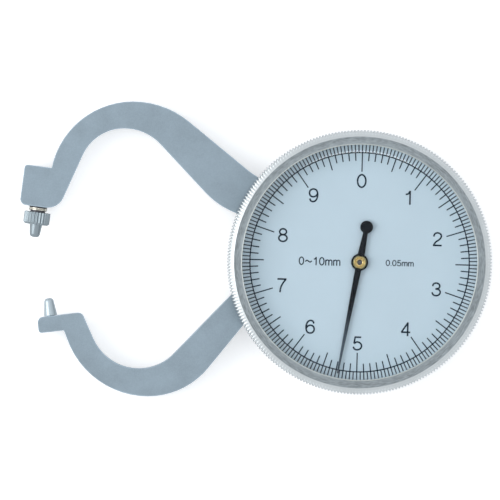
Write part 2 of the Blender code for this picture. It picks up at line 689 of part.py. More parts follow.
def make_moving_arm(metal):
    """Swinging arm, whose hub is the upper half of the lap at the pivot."""
    arm = prism("moving_arm", [moving_arm_outline()], ARM_BOTTOM, ARM_TOP, metal)
    put_origin(arm, PIVOT)
    drill(arm, PIVOT, HUB_RADIUS + GAP, ARM_BOTTOM - OVERRUN, LAP_HIGH, 2 * SMALL_SEGMENTS)
    drill(arm, PIVOT, PIVOT_BUSH_RADIUS + GAP, LAP_LOW, ARM_TOP + OVERRUN)
    for place in sector_screw_places():
        drill(arm, place, SCREW_HOLE, LAP_HIGH + GAP, ARM_TOP + OVERRUN, SCREW_SEGMENTS)
    hole = LOWER_ANVIL_SHANK_RADIUS + GAP
    depth = LOWER_ANVIL_SHANK_LENGTH + GAP
    bore = turned("lower_anvil_bore", [(0, -depth), (hole, -depth), (hole, OVERRUN), (0, OVERRUN)],
                  SMALL_SEGMENTS)
    lay_on_axis(bore, MOVING_BLOCK_X, MOVING_BLOCK_Y, MOVING_BLOCK_TILT)
    combine(arm, bore, "DIFFERENCE")
    return arm


def make_anvil_spindle(metal):
    """Adjustable upper anvil: threaded shank, bright neck, ribbed collar and round-ended tip."""
    neck_top = ANVIL_NECK_HIDDEN
    neck_low = -ANVIL_NECK_HEIGHT
    collar_top = neck_low - ANVIL_GROOVE_HEIGHT
    collar_low = collar_top - ANVIL_COLLAR_HEIGHT
    tip_low = collar_low - ANVIL_TIP_LENGTH
    rounding = ANVIL_TIP_END_RADIUS / 2
    profile = [
        (0, tip_low), (ANVIL_TIP_END_RADIUS - rounding, tip_low),
        (ANVIL_TIP_END_RADIUS, tip_low + rounding), (ANVIL_TIP_BASE_RADIUS, collar_low - GAP),
        (ANVIL_TIP_BASE_RADIUS, collar_low + ANVIL_COLLAR_BEVEL),
        (ANVIL_GROOVE_RADIUS, collar_low + ANVIL_COLLAR_BEVEL), (ANVIL_GROOVE_RADIUS, neck_low),
        (ANVIL_NECK_RADIUS, neck_low), (ANVIL_NECK_RADIUS, neck_top),
        (ANVIL_SHANK_RADIUS, neck_top), (ANVIL_SHANK_RADIUS, neck_top + ANVIL_SHANK_LENGTH),
        (0, neck_top + ANVIL_SHANK_LENGTH)]
    spindle = turned("anvil_spindle", profile, SMALL_SEGMENTS, metal)
    combine(spindle, ribbed_collar(collar_low, collar_top), "UNION")
    lay_on_axis(spindle, FIXED_BLOCK_X, FIXED_BLOCK_Y, FIXED_BLOCK_TILT)
    return spindle


def ribbed_collar(low, high):
    """Collar with straight ribs, chamfered at its lower end."""
    outline = []
    for rib in range(ANVIL_COLLAR_RIBS):
        for part, depth in enumerate((0, ANVIL_RIB_DEPTH)):
            turn = 360.0 * (rib + part / 2) / ANVIL_COLLAR_RIBS
            outline.append((ANVIL_COLLAR_RADIUS - depth, turn))
    bm = bmesh.new()
    rows = []
    for inset, height in ((ANVIL_COLLAR_BEVEL, low), (0, low + ANVIL_COLLAR_BEVEL), (0, high)):
        points = [polar(DIAL_AXIS, radius - inset, turn) for radius, turn in outline]
        rows.append([bm.verts.new((x, y, height)) for x, y in points])
    for lower, upper in zip(rows, rows[1:]):
        for index in range(len(lower)):
            after = (index + 1) % len(lower)
            bm.faces.new((lower[index], lower[after], upper[after], upper[index]))
    bm.faces.new(rows[0][::-1])
    bm.faces.new(rows[-1])
    collar = add_object("anvil_collar_tool", finish_mesh("anvil_collar_tool", bm), None)
    lay_on_axis(collar, FIXED_BLOCK_X, FIXED_BLOCK_Y, FIXED_BLOCK_TILT)
    return collar


def make_anvil_friction_ring(metal):
    """Spring ring on the neck, inside the block, that keeps the screwed anvil from turning."""
    low = ANVIL_NECK_HIDDEN + GAP
    high = low + FRICTION_RING_THICKNESS
    inner = ANVIL_SHANK_RADIUS + GAP
    ring = tube("anvil_friction_ring", DIAL_AXIS, ANVIL_NECK_RADIUS, inner, low, high,
                SMALL_SEGMENTS, metal)
    lay_on_axis(ring, FIXED_BLOCK_X, FIXED_BLOCK_Y, FIXED_BLOCK_TILT)
    return ring


def make_lower_anvil(metal):
    """Plain cone-shaped anvil set into the swinging arm's block."""
    base = GAP
    top = LOWER_ANVIL_HEIGHT
    rounding = LOWER_ANVIL_END_RADIUS / 2
    profile = [
        (0, -LOWER_ANVIL_SHANK_LENGTH), (LOWER_ANVIL_SHANK_RADIUS, -LOWER_ANVIL_SHANK_LENGTH),
        (LOWER_ANVIL_SHANK_RADIUS, base), (LOWER_ANVIL_BASE_RADIUS, base),
        (LOWER_ANVIL_END_RADIUS, top - rounding), (LOWER_ANVIL_END_RADIUS - rounding, top),
        (0, top)]
    anvil = turned("lower_anvil", profile, SMALL_SEGMENTS, metal)
    lay_on_axis(anvil, MOVING_BLOCK_X, MOVING_BLOCK_Y, MOVING_BLOCK_TILT)
    return anvil


# Pivot

def make_pivot_pin(metal):
    """Shoulder pin that carries the swinging arm, screwed in from the back."""
    nut_top = SECTOR_TOP + GAP + FRICTION_WASHER_THICKNESS + GAP + PIVOT_NUT_HEIGHT
    profile = [(0, HEAD_BOTTOM), (PIVOT_HEAD_RADIUS, HEAD_BOTTOM), (PIVOT_HEAD_RADIUS, HEAD_TOP),
               (PIVOT_PIN_RADIUS, HEAD_TOP), (PIVOT_PIN_RADIUS, nut_top), (0, nut_top)]
    pin = turned("pivot_pin", profile, SMALL_SEGMENTS, metal, PIVOT)
    cut_slot(pin, PIVOT_HEAD_RADIUS, HEAD_BOTTOM - OVERRUN, HEAD_BOTTOM + SCREW_SLOT_DEPTH)
    return pin


def make_pivot_bush(metal):
    """Bearing bush pressed through the swinging arm's hub and the sector."""
    return tube("pivot_bush", PIVOT, PIVOT_BUSH_RADIUS, PIVOT_HOLE, LAP_HIGH, SECTOR_TOP,
                SMALL_SEGMENTS, metal)


def make_friction_washer(metal):
    """Spring washer that keeps the swinging arm where it is put."""
    low = SECTOR_TOP + GAP
    return tube("friction_washer", PIVOT, FRICTION_WASHER_RADIUS, PIVOT_HOLE, low,
                low + FRICTION_WASHER_THICKNESS, SMALL_SEGMENTS, metal)


def make_pivot_nut(metal):
    """Slotted round nut that loads the spring washer."""
    low = SECTOR_TOP + GAP + FRICTION_WASHER_THICKNESS + GAP
    high = low + PIVOT_NUT_HEIGHT
    nut = tube("pivot_nut", PIVOT, PIVOT_NUT_RADIUS, PIVOT_HOLE, low, high, SMALL_SEGMENTS, metal)
    cut_slot(nut, PIVOT_NUT_RADIUS, high - SCREW_SLOT_DEPTH, high + OVERRUN)
    return nut


# Screws

def cut_slot(target, radius, bottom, top):
    """Cut a driver slot across a head, through its axis."""
    half = SCREW_SLOT_WIDTH / 2
    reach = radius + OVERRUN
    outline = [(-reach, -half), (reach, -half), (reach, half), (-reach, half)]
    tool = prism(f"{target.name}_slot", [outline], bottom, top)
    tool.location = target.location
    combine(target, tool, "DIFFERENCE")


def make_screw(name, centre, tip, metal):
    """Slotted screw put in from the back, with its tip at a height."""
    profile = [(0, HEAD_BOTTOM), (SCREW_HEAD_RADIUS, HEAD_BOTTOM), (SCREW_HEAD_RADIUS, HEAD_TOP),
               (SCREW_RADIUS, HEAD_TOP), (SCREW_RADIUS, tip), (0, tip)]
    screw = turned(name, profile, SCREW_SEGMENTS, metal, centre)
    cut_slot(screw, SCREW_HEAD_RADIUS, HEAD_BOTTOM - OVERRUN, HEAD_BOTTOM + SCREW_SLOT_DEPTH)
    return screw


def make_top_screw(name, centre, seat, tip, metal):
    """Slotted screw put in from above, with its head over a seat."""
    low = seat + GAP
    high = low + SCREW_HEAD_HEIGHT
    profile = [(0, tip), (SCREW_RADIUS, tip), (SCREW_RADIUS, low), (SCREW_HEAD_RADIUS, low),
               (SCREW_HEAD_RADIUS, high), (0, high)]
    screw = turned(name, profile, SCREW_SEGMENTS, metal, centre)
    cut_slot(screw, SCREW_HEAD_RADIUS, high - SCREW_SLOT_DEPTH, high + OVERRUN)
    return screw


def back_screw_places():
    """Return the places of the screws that hold the back plate to the case ring."""
    middle = (CASE_INNER + CASE_RADIUS) / 2 - GAP / 2
    return [polar(DIAL_AXIS, middle, angle) for angle in BACK_SCREW_ANGLES]


def sector_screw_places():
    """Return the places of the screws that hold the sector to the swinging arm."""
    pairs = zip(SECTOR_SCREW_RADIUS_SHARES, SECTOR_SCREW_ANGLES)
    return [polar(PIVOT, HUB_RADIUS * share, angle) for share, angle in pairs]


# Case

def make_back_plate(metal):
    """Back plate that everything is screwed to, flat underneath."""
    inner = CASE_RADIUS - BACK_EDGE_CHAMFER
    profile = [(0, 0), (inner, 0), (CASE_RADIUS, BACK_EDGE_CHAMFER), (CASE_RADIUS, BACK_THICKNESS),
               (0, BACK_THICKNESS)]
    plate = turned("back_plate", profile, RING_SEGMENTS, metal)
    places = back_screw_places() + list(ARM_SCREW_PLACES) + list(PILLAR_PLACES)
    for place in places:
        counterbore(plate, place, SCREW_HEAD_RADIUS + GAP, SCREW_HOLE)
    counterbore(plate, PIVOT, PIVOT_HEAD_RADIUS + GAP, PIVOT_HOLE)
    return plate


def swept_angles(outline, centre, swings):
    """Return the angles about the dial axis over which an outline crosses the case wall."""
    low = CASE_INNER - GAP
    high = CASE_RADIUS + GAP
    angles = []
    steps = 40
    for start, end in zip(outline, outline[1:] + outline[:1]):
        for step in range(steps):
            share = step / steps
            x = start[0] + (end[0] - start[0]) * share - centre[0]
            y = start[1] + (end[1] - start[1]) * share - centre[1]
            for swing in swings:
                turn = math.radians(swing)
                px = centre[0] + x * math.cos(turn) - y * math.sin(turn)
                py = centre[1] + x * math.sin(turn) + y * math.cos(turn)
                at_wall = low < math.hypot(px, py) < high
                if at_wall and math.hypot(x, y) > HUB_RADIUS + GAP:
                    angles.append(math.degrees(math.atan2(py, px)) % 360.0)
    return min(angles), max(angles)


def wall_window(name, angles):
    """Make a cutter that opens the case wall between two angles, from below."""
    margin = math.degrees(2 * GAP / CASE_INNER)
    start = angles[0] - margin
    end = angles[1] + margin
    outline = arc(DIAL_AXIS, CASE_INNER - OVERRUN, start, end)
    outline += arc(DIAL_AXIS, CASE_RADIUS + OVERRUN, end, start)
    return prism(name, [outline], BACK_THICKNESS - OVERRUN, ARM_TOP + GAP)


def make_case_ring(metal):
    """Case wall with windows for the arms and a groove for the bezel spring."""
    bottom = BACK_THICKNESS + GAP
    groove = CASE_RADIUS - SPRING_GROOVE_DEPTH
    groove_low = CASE_TOP - SPRING_DROP - SPRING_HEIGHT / 2 - GAP
    groove_high = CASE_TOP - SPRING_DROP + SPRING_HEIGHT / 2 + GAP
    profile = [(CASE_INNER, bottom), (CASE_RADIUS, bottom), (CASE_RADIUS, groove_low),
               (groove, groove_low), (groove, groove_high), (CASE_RADIUS, groove_high),
               (CASE_RADIUS, CASE_TOP), (CASE_INNER, CASE_TOP)]
    ring = turned("case_ring", profile, RING_SEGMENTS, metal)
    fixed = swept_angles(fixed_arm_outline(), PIVOT, (0.0,))
    steps = [SWING_CLOSED, SWING_CLOSED / 2, 0.0, SWING_OPEN]
    moving = swept_angles(moving_arm_outline(), PIVOT, steps)
    combine(ring, wall_window("fixed_window", fixed), "DIFFERENCE")
    combine(ring, wall_window("moving_window", moving), "DIFFERENCE")
    for place in back_screw_places():
        drill(ring, place, SCREW_HOLE, 0, HEAD_TOP + BACK_SCREW_REACH + GAP, SCREW_SEGMENTS)
    return ring


def split_ring(name, outer, inner, bottom, top, metal):
    """Make a flat ring with a gap at +X, as a snap ring has."""
    end = 360.0 - RING_SPLIT_HALF_ANGLE
    outline = arc(DIAL_AXIS, outer, RING_SPLIT_HALF_ANGLE, end)
    outline += arc(DIAL_AXIS, inner, end, RING_SPLIT_HALF_ANGLE)
    return prism(name, [outline], bottom, top, metal)


def make_bezel_spring(metal):
    """Snap ring that holds the bezel on the case and gives it friction."""
    inner = CASE_RADIUS - SPRING_GROOVE_DEPTH + GAP
    middle = CASE_TOP - SPRING_DROP
    return split_ring("bezel_spring", inner + SPRING_WIDTH, inner, middle - SPRING_HEIGHT / 2,
                      middle + SPRING_HEIGHT / 2, metal)


# Movement

def plate_outline():
    """Return the outline that both movement plates share."""
    neck = bush_radius(ARBOR_PIVOT_RADIUS) + PLATE_NECK_WALL
    points = circle(INTERMEDIATE, neck, 2 * SMALL_SEGMENTS)
    for place in PILLAR_PLACES:
        points += circle(place, PILLAR_RADIUS + PLATE_BOSS_WALL, 2 * SMALL_SEGMENTS)
    return hull(points)


def make_movement_base(metal):
    """Lower movement plate."""
    plate = [plate_outline()]
    plate += [circle(place, SCREW_HOLE, SCREW_SEGMENTS) for place in PILLAR_PLACES]
    bush = bush_radius(ARBOR_PIVOT_RADIUS) + GAP
    plate += [circle(place, bush, SMALL_SEGMENTS) for place in (DIAL_AXIS, INTERMEDIATE, TAKEUP)]
    return prism("movement_base", plate, PLATE_BOTTOM, PLATE_TOP, metal)


def make_bridge(metal):
    """Upper movement plate."""
    plate = [plate_outline()]
    plate += [circle(place, SCREW_HOLE, SCREW_SEGMENTS) for place in PILLAR_PLACES]
    small = bush_radius(ARBOR_PIVOT_RADIUS) + GAP
    large = bush_radius(CENTRE_JOURNAL_RADIUS) + GAP
    plate += [circle(place, small, SMALL_SEGMENTS) for place in (INTERMEDIATE, TAKEUP)]
    plate.append(circle(DIAL_AXIS, large, SMALL_SEGMENTS))
    return prism("bridge", plate, BRIDGE_BOTTOM, BRIDGE_TOP, metal)


def bush_radius(journal):
    """Return the outer radius of the bush that holds a journal."""
    return journal + GAP + BUSH_WALL


def make_bushes(metal):
    """Bearing bushes of the three arbors in both plates."""
    places = {"centre": DIAL_AXIS, "intermediate": INTERMEDIATE, "takeup": TAKEUP}
    for name, place in places.items():
        lower = ARBOR_PIVOT_RADIUS
        upper = CENTRE_JOURNAL_RADIUS if name == "centre" else ARBOR_PIVOT_RADIUS
        tube(f"{name}_bush_lower", place, bush_radius(lower), lower + GAP, PLATE_BOTTOM, PLATE_TOP,
             SMALL_SEGMENTS, metal)
        tube(f"{name}_bush_upper", place, bush_radius(upper), upper + GAP, BRIDGE_BOTTOM,
             BRIDGE_TOP, SMALL_SEGMENTS, metal)


def make_pillars(brass, steel):
    """Pillars between the plates, sleeves under the lower plate, and their screws."""
    middle = (PLATE_TOP + BRIDGE_BOTTOM) / 2
    for number, place in enumerate(PILLAR_PLACES, 1):
        tube(f"pillar_sleeve_{number}", place, PILLAR_RADIUS, SCREW_HOLE, ARM_BOTTOM,
             PLATE_BOTTOM - GAP, SMALL_SEGMENTS, brass)
        tube(f"pillar_{number}", place, PILLAR_RADIUS, SCREW_HOLE, PLATE_TOP + GAP,
             BRIDGE_BOTTOM - GAP, SMALL_SEGMENTS, brass)
        make_screw(f"pillar_screw_{number}", place, middle - SCREW_TIP_GAP / 2, steel)
        make_top_screw(f"bridge_screw_{number}", place, BRIDGE_TOP, middle + SCREW_TIP_GAP / 2,
                       steel)


def sector_outline():
    """Return the outline of the toothed sector plate, with its screw lobes."""
    outer = SECTOR_MODULE * SECTOR_TEETH / 2 + DEDENDUM_SHARE * SECTOR_MODULE + SECTOR_RIM
    points = arc(PIVOT, outer, SECTOR_WINDOW_START - SECTOR_RAIL, SECTOR_WINDOW_END + SECTOR_RAIL)
    points += circle(PIVOT, SECTOR_HUB_RADIUS, 2 * SMALL_SEGMENTS)
    for place in sector_screw_places():
        points += circle(place, SECTOR_LOBE_RADIUS, 2 * SMALL_SEGMENTS)
    return hull(points)


def sector_window():
    """Return the window whose far side carries the sector's inward teeth."""
    pitch = 360.0 / SECTOR_TEETH
    pitch_radius = SECTOR_MODULE * SECTOR_TEETH / 2
    tip = pitch_radius - ADDENDUM_SHARE * SECTOR_MODULE
    root = pitch_radius + DEDENDUM_SHARE * SECTOR_MODULE
    first = math.ceil((SECTOR_WINDOW_START - SECTOR_DIRECTION) / pitch + 0.5)
    last = math.floor((SECTOR_WINDOW_END - SECTOR_DIRECTION) / pitch - 0.5)
    window = arc(PIVOT, SECTOR_WINDOW_RADIUS, SECTOR_WINDOW_END, SECTOR_WINDOW_START)
    window.append(polar(PIVOT, tip, SECTOR_WINDOW_START))
    for space in range(first, last + 1):
        middle = SECTOR_DIRECTION + space * pitch
        wide = math.degrees(flank_angle(SECTOR_TEETH, SECTOR_MODULE, tip, -BACKLASH / 2))
        narrow = math.degrees(flank_angle(SECTOR_TEETH, SECTOR_MODULE, root, -BACKLASH / 2))
        window += [polar(PIVOT, tip, middle - wide), polar(PIVOT, root, middle - narrow),
                   polar(PIVOT, root, middle + narrow), polar(PIVOT, tip, middle + wide)]
    window.append(polar(PIVOT, tip, SECTOR_WINDOW_END))
    return window


def make_sector_plate(metal):
    """Sector plate on the swinging arm, with teeth on the inside of its rim."""
    loops = [sector_outline(), sector_window()]
    loops.append(circle(PIVOT, PIVOT_BUSH_RADIUS + GAP, SMALL_SEGMENTS))
    loops += [circle(place, SCREW_HOLE, SCREW_SEGMENTS) for place in sector_screw_places()]
    plate = prism("sector_plate", loops, SECTOR_BOTTOM, SECTOR_TOP, metal)
    put_origin(plate, PIVOT)
    return plate


def make_wheel(name, centre, arbor, phase, metal):
    """Crossed-out wheel pressed on an arbor."""
    loops = [gear_outline(centre, WHEEL_TEETH, WHEEL_MODULE, phase, 1)]
    loops.append(circle(centre, arbor + GAP, SMALL_SEGMENTS))
    pitch_radius = WHEEL_MODULE * WHEEL_TEETH / 2
    for number in range(WHEEL_HOLES):
        place = polar(centre, pitch_radius * WHEEL_HOLE_PLACE_SHARE, 360.0 * number / WHEEL_HOLES)
        loops.append(circle(place, pitch_radius * WHEEL_HOLE_SHARE, SCREW_SEGMENTS))
    wheel = prism(name, loops, WHEEL_BOTTOM, WHEEL_TOP, metal)
    put_origin(wheel, centre)
    return wheel


def make_centre_arbor(steel, phase):
    """Arbor of the pointer with its pinion."""
    low = PLATE_TOP - ARBOR_PIVOT_LENGTH
    body_low = PLATE_TOP + GAP
    body_high = BRIDGE_BOTTOM - GAP
    journal_high = DIAL_TOP + GAP / 2
    tip = DIAL_TOP + POINTER_CAP_HEIGHT
    profile = [(0, low), (ARBOR_PIVOT_RADIUS, low), (ARBOR_PIVOT_RADIUS, body_low),
               (ARBOR_RADIUS, body_low), (ARBOR_RADIUS, body_high),
               (CENTRE_JOURNAL_RADIUS, body_high), (CENTRE_JOURNAL_RADIUS, journal_high),
               (ARBOR_PIVOT_RADIUS, journal_high), (ARBOR_PIVOT_RADIUS, tip), (0, tip)]
    arbor = turned("centre_arbor", profile, SMALL_SEGMENTS, steel)
    outline = gear_outline(DIAL_AXIS, CENTRE_PINION_TEETH, WHEEL_MODULE, phase, 2)
    pinion = prism("centre_pinion_tool", [outline], WHEEL_BOTTOM - CENTRE_PINION_OVERHANG,
                   WHEEL_TOP + CENTRE_PINION_OVERHANG)
    combine(arbor, pinion, "UNION")
    return arbor


def plain_arbor(name, centre, radius, steel):
    """Arbor with a pivot at each end."""
    low = PLATE_TOP - ARBOR_PIVOT_LENGTH
    body_low = PLATE_TOP + GAP
    body_high = BRIDGE_BOTTOM - GAP
    high = BRIDGE_BOTTOM + ARBOR_PIVOT_LENGTH
    profile = [(0, low), (ARBOR_PIVOT_RADIUS, low), (ARBOR_PIVOT_RADIUS, body_low),
               (radius, body_low), (radius, body_high), (ARBOR_PIVOT_RADIUS, body_high),
               (ARBOR_PIVOT_RADIUS, high), (0, high)]
    return turned(name, profile, SMALL_SEGMENTS, steel, centre)


def make_intermediate_arbor(steel):
    """Arbor whose pinion the sector drives."""
    arbor = plain_arbor("intermediate_arbor", INTERMEDIATE, ARBOR_RADIUS, steel)
    outline = gear_outline(
        INTERMEDIATE, SECTOR_PINION_TEETH, SECTOR_MODULE, SECTOR_DIRECTION, 2)
    pinion = prism("intermediate_pinion_tool", [outline], SECTOR_BOTTOM - PINION_OVERHANG,
                   SECTOR_TOP + PINION_OVERHANG)
    combine(arbor, pinion, "UNION")
    return arbor


def hairspring_point(turns, side):
    """Return a point of the hairspring, some turns out, on its inner or outer side."""
    start = TAKEUP_ARBOR_RADIUS + GAP + HAIRSPRING_STRIP / 2
    radius = start + HAIRSPRING_PITCH * turns + HAIRSPRING_STRIP / 2 * side
    return polar(TAKEUP, radius, 360.0 * turns)


def make_hairspring(steel):
    """Flat spiral spring round the take-up arbor."""
    low = PLATE_TOP + HAIRSPRING_LIFT
    steps = math.ceil(HAIRSPRING_TURNS * 20)
    turns = [HAIRSPRING_TURNS * i / steps for i in range(steps + 1)]
    outline = [hairspring_point(t, -1) for t in turns]
    outline += [hairspring_point(t, 1) for t in turns[::-1]]
    return prism("hairspring", [outline], low, low + HAIRSPRING_HEIGHT, steel)


def make_hairspring_stud(brass):
    """Stud on the lower plate that holds the hairspring's outer end."""
    end = hairspring_point(HAIRSPRING_TURNS, 0)
    away = direction_of(TAKEUP, end) + 90.0
    place = polar(end, STUD_RADIUS + GAP, away)
    high = PLATE_TOP + HAIRSPRING_LIFT + HAIRSPRING_HEIGHT + GAP
    profile = [(0, PLATE_TOP + GAP), (STUD_RADIUS, PLATE_TOP + GAP), (STUD_RADIUS, high), (0, high)]
    return turned("hairspring_stud", profile, SCREW_SEGMENTS, brass, place)


# Bezel, dial and pointer

def bezel_profile():
    """Return the bezel's section as (radius, height) corners."""
    spring = CASE_TOP - SPRING_DROP
    groove_low = spring - SPRING_HEIGHT / 2 - GAP
    groove_high = spring + SPRING_HEIGHT / 2 + GAP
    groove = CASE_RADIUS - SPRING_GROOVE_DEPTH + GAP + SPRING_WIDTH + GAP
    clamp = BEZEL_BORE + CLAMP_GROOVE_DEPTH
    knurl_top = BEZEL_TOP - BEZEL_KNURL_DROP
    shoulder = BEZEL_TOP - BEZEL_SHOULDER_DROP
    middle_radius = (BEZEL_RADIUS * 2 + BEZEL_SHOULDER_RADIUS) / 3
    middle_height = (knurl_top + shoulder * 2) / 3
    return [
        (SKIRT_INNER, BEZEL_BOTTOM), (BEZEL_RADIUS - BEZEL_EDGE_CHAMFER, BEZEL_BOTTOM),
        (BEZEL_RADIUS, BEZEL_BOTTOM + BEZEL_EDGE_CHAMFER), (BEZEL_RADIUS, knurl_top),
        (middle_radius, middle_height), (BEZEL_SHOULDER_RADIUS, shoulder),
        (BEZEL_FACE_RADIUS, BEZEL_TOP), (BEZEL_LIP_RADIUS, BEZEL_TOP),
        (BEZEL_LIP_RADIUS, LIP_BOTTOM), (BEZEL_BORE, LIP_BOTTOM), (BEZEL_BORE, CLAMP_TOP + GAP),
        (clamp, CLAMP_TOP + GAP), (clamp, CLAMP_BOTTOM - GAP), (BEZEL_BORE, CLAMP_BOTTOM - GAP),
        (BEZEL_BORE, LEDGE_HEIGHT), (SKIRT_INNER, LEDGE_HEIGHT), (SKIRT_INNER, groove_high),
        (groove, groove_high), (groove, groove_low), (SKIRT_INNER, groove_low)]


def make_bezel(metal):
    """Turning bezel that carries the crystal and the dial."""
    return turned("bezel", bezel_profile(), RING_SEGMENTS, metal)


def make_dial_clamp_ring(metal):
    """Snap ring under the dial, in a groove of the bezel."""
    outer = BEZEL_BORE + CLAMP_GROOVE_DEPTH - GAP
    return split_ring("dial_clamp_ring", outer, outer - CLAMP_WIDTH, CLAMP_BOTTOM, CLAMP_TOP, metal)


def make_dial_plate(paint):
    """Printed dial plate with a hole for the pointer's arbor."""
    loops = [circle(DIAL_AXIS, GLASS_RADIUS, RING_SEGMENTS)]
    loops.append(circle(DIAL_AXIS, DIAL_HOLE_RADIUS, SMALL_SEGMENTS))
    return prism("dial_plate", loops, DIAL_BOTTOM, DIAL_TOP, paint)


def make_crystal(clear):
    """Flat crystal under the bezel's lip."""
    profile = [(0, CRYSTAL_BOTTOM), (GLASS_RADIUS, CRYSTAL_BOTTOM), (GLASS_RADIUS, CRYSTAL_TOP),
               (0, CRYSTAL_TOP)]
    return turned("crystal", profile, RING_SEGMENTS, clear)


def make_crystal_spacer(plastic):
    """Spacer ring between the dial and the crystal."""
    return tube("crystal_spacer", DIAL_AXIS, GLASS_RADIUS, BEZEL_LIP_RADIUS, SPACER_BOTTOM,
                SPACER_TOP, RING_SEGMENTS, plastic)


def make_pointer(black):
    """Tapered pointer with a tail and a round counterweight."""
    heading = 90.0 - POINTER_ANGLE
    hub = math.degrees(math.asin(POINTER_ROOT_WIDTH / 2 / POINTER_HUB_RADIUS))
    tail_hub = math.degrees(math.asin(POINTER_TAIL_ROOT_WIDTH / 2 / POINTER_HUB_RADIUS))
    weight = polar(DIAL_AXIS, POINTER_TAIL_LENGTH, heading + 180.0)
    spread = math.degrees(math.asin(POINTER_TAIL_END_WIDTH / 2 / POINTER_WEIGHT_RADIUS))
    outline = [shifted(DIAL_AXIS, heading, POINTER_LENGTH, -POINTER_END_WIDTH / 2)]
    outline += [shifted(DIAL_AXIS, heading, POINTER_LENGTH, POINTER_END_WIDTH / 2)]
    outline += round_side(DIAL_AXIS, POINTER_HUB_RADIUS, heading + hub, heading + 180.0 - tail_hub)
    outline += round_side(weight, POINTER_WEIGHT_RADIUS, heading + spread,
                          heading + 360.0 - spread)
    outline += round_side(DIAL_AXIS, POINTER_HUB_RADIUS, heading + 180.0 + tail_hub,
                          heading + 360.0 - hub)
    hole = circle(DIAL_AXIS, POINTER_CAP_WALL + ARBOR_PIVOT_RADIUS + 2 * GAP, SMALL_SEGMENTS)
    return prism("pointer", [outline, hole], POINTER_BOTTOM, POINTER_BOTTOM + POINTER_THICKNESS,
                 black)


def round_side(centre, radius, start, end):
    """Return a short arc with enough steps for a small round part."""
    steps = SMALL_SEGMENTS // 2
    return [polar(centre, radius, start + (end - start) * i / steps) for i in range(steps + 1)]


def make_pointer_cap(brass):
    """Brass cap that holds the pointer on its arbor."""
    bore = ARBOR_PIVOT_RADIUS + GAP
    neck = bore + POINTER_CAP_WALL
    low = DIAL_TOP + GAP
    flange = POINTER_BOTTOM + POINTER_THICKNESS + GAP
    top = low + POINTER_CAP_HEIGHT
    middle_radius = (POINTER_CAP_RADIUS * 2 + bore) / 3
    profile = [(bore, low), (neck, low), (neck, flange), (POINTER_CAP_RADIUS, flange),
               (POINTER_CAP_RADIUS, top - POINTER_CAP_DOME),
               (middle_radius, top - POINTER_CAP_DOME / 4), (bore, top)]
    return turned("pointer_cap", profile, SMALL_SEGMENTS, brass)


def clear_scene():
    """Remove everything that the new file came with."""
    for item in list(bpy.data.objects):
        bpy.data.objects.remove(item, do_unlink=True)


def main():
    """Build every sub-part."""
    clear_scene()
    satin = satin_chrome()
    bright = bright_chrome()
    case = case_metal()
    brass = plate_brass()
    steel = dark_steel()
    to_centre = direction_of(INTERMEDIATE, DIAL_AXIS)
    to_takeup = direction_of(DIAL_AXIS, TAKEUP)
    centre_phase = meshed_phase(WHEEL_TEETH, to_centre, to_centre, CENTRE_PINION_TEETH)
    takeup_phase = meshed_phase(CENTRE_PINION_TEETH, centre_phase, to_takeup, WHEEL_TEETH)
    make_back_plate(case)
    make_case_ring(case)
    for number, place in enumerate(back_screw_places(), 1):
        make_screw(f"back_screw_{number}", place, HEAD_TOP + BACK_SCREW_REACH, steel)
    make_fixed_arm(satin)
    for number, place in enumerate(ARM_SCREW_PLACES, 1):
        make_screw(f"arm_screw_{number}", place, ARM_BOTTOM + ARM_SCREW_REACH, steel)
    make_moving_arm(satin)
    make_anvil_spindle(bright)
    make_anvil_friction_ring(steel)
    make_lower_anvil(bright)
    make_pivot_pin(steel)
    make_pivot_bush(brass)
    make_friction_washer(steel)
    make_pivot_nut(steel)
    make_sector_plate(brass)
    for number, place in enumerate(sector_screw_places(), 1):
        make_top_screw(f"sector_screw_{number}", place, SECTOR_TOP, LAP_HIGH + 2 * GAP, steel)
    make_movement_base(brass)
    make_bridge(brass)
    make_bushes(brass)
    make_pillars(brass, steel)
    make_intermediate_arbor(steel)
    make_wheel("intermediate_wheel", INTERMEDIATE, ARBOR_RADIUS, to_centre, brass)
    make_centre_arbor(steel, centre_phase)
    plain_arbor("takeup_arbor", TAKEUP, TAKEUP_ARBOR_RADIUS, steel)
    make_wheel("takeup_wheel", TAKEUP, TAKEUP_ARBOR_RADIUS, takeup_phase, brass)
    make_hairspring(steel)
    make_hairspring_stud(brass)
    make_bezel_spring(steel)
    make_bezel(bright)
    make_dial_clamp_ring(steel)
    make_dial_plate(dial_paint())
    make_crystal_spacer(spacer_plastic())
    make_crystal(clear_plastic())
    make_pointer(pointer_black())
    make_pointer_cap(brass)


main()
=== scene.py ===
"""Looks of the dial caliper gauge: its finishes, its fine parts, the light and the camera.

Sizes are in metres. The gauge lies on its back: the dial axis is Z and the dial faces +Z,
+Y is the top of the photograph and the two curved arms reach out to -X.
"""

import json
import logging
import math
from collections.abc import Callable
from dataclasses import dataclass, field
from enum import Enum

import bmesh
import bpy
from mathutils import Matrix, Vector, geometry

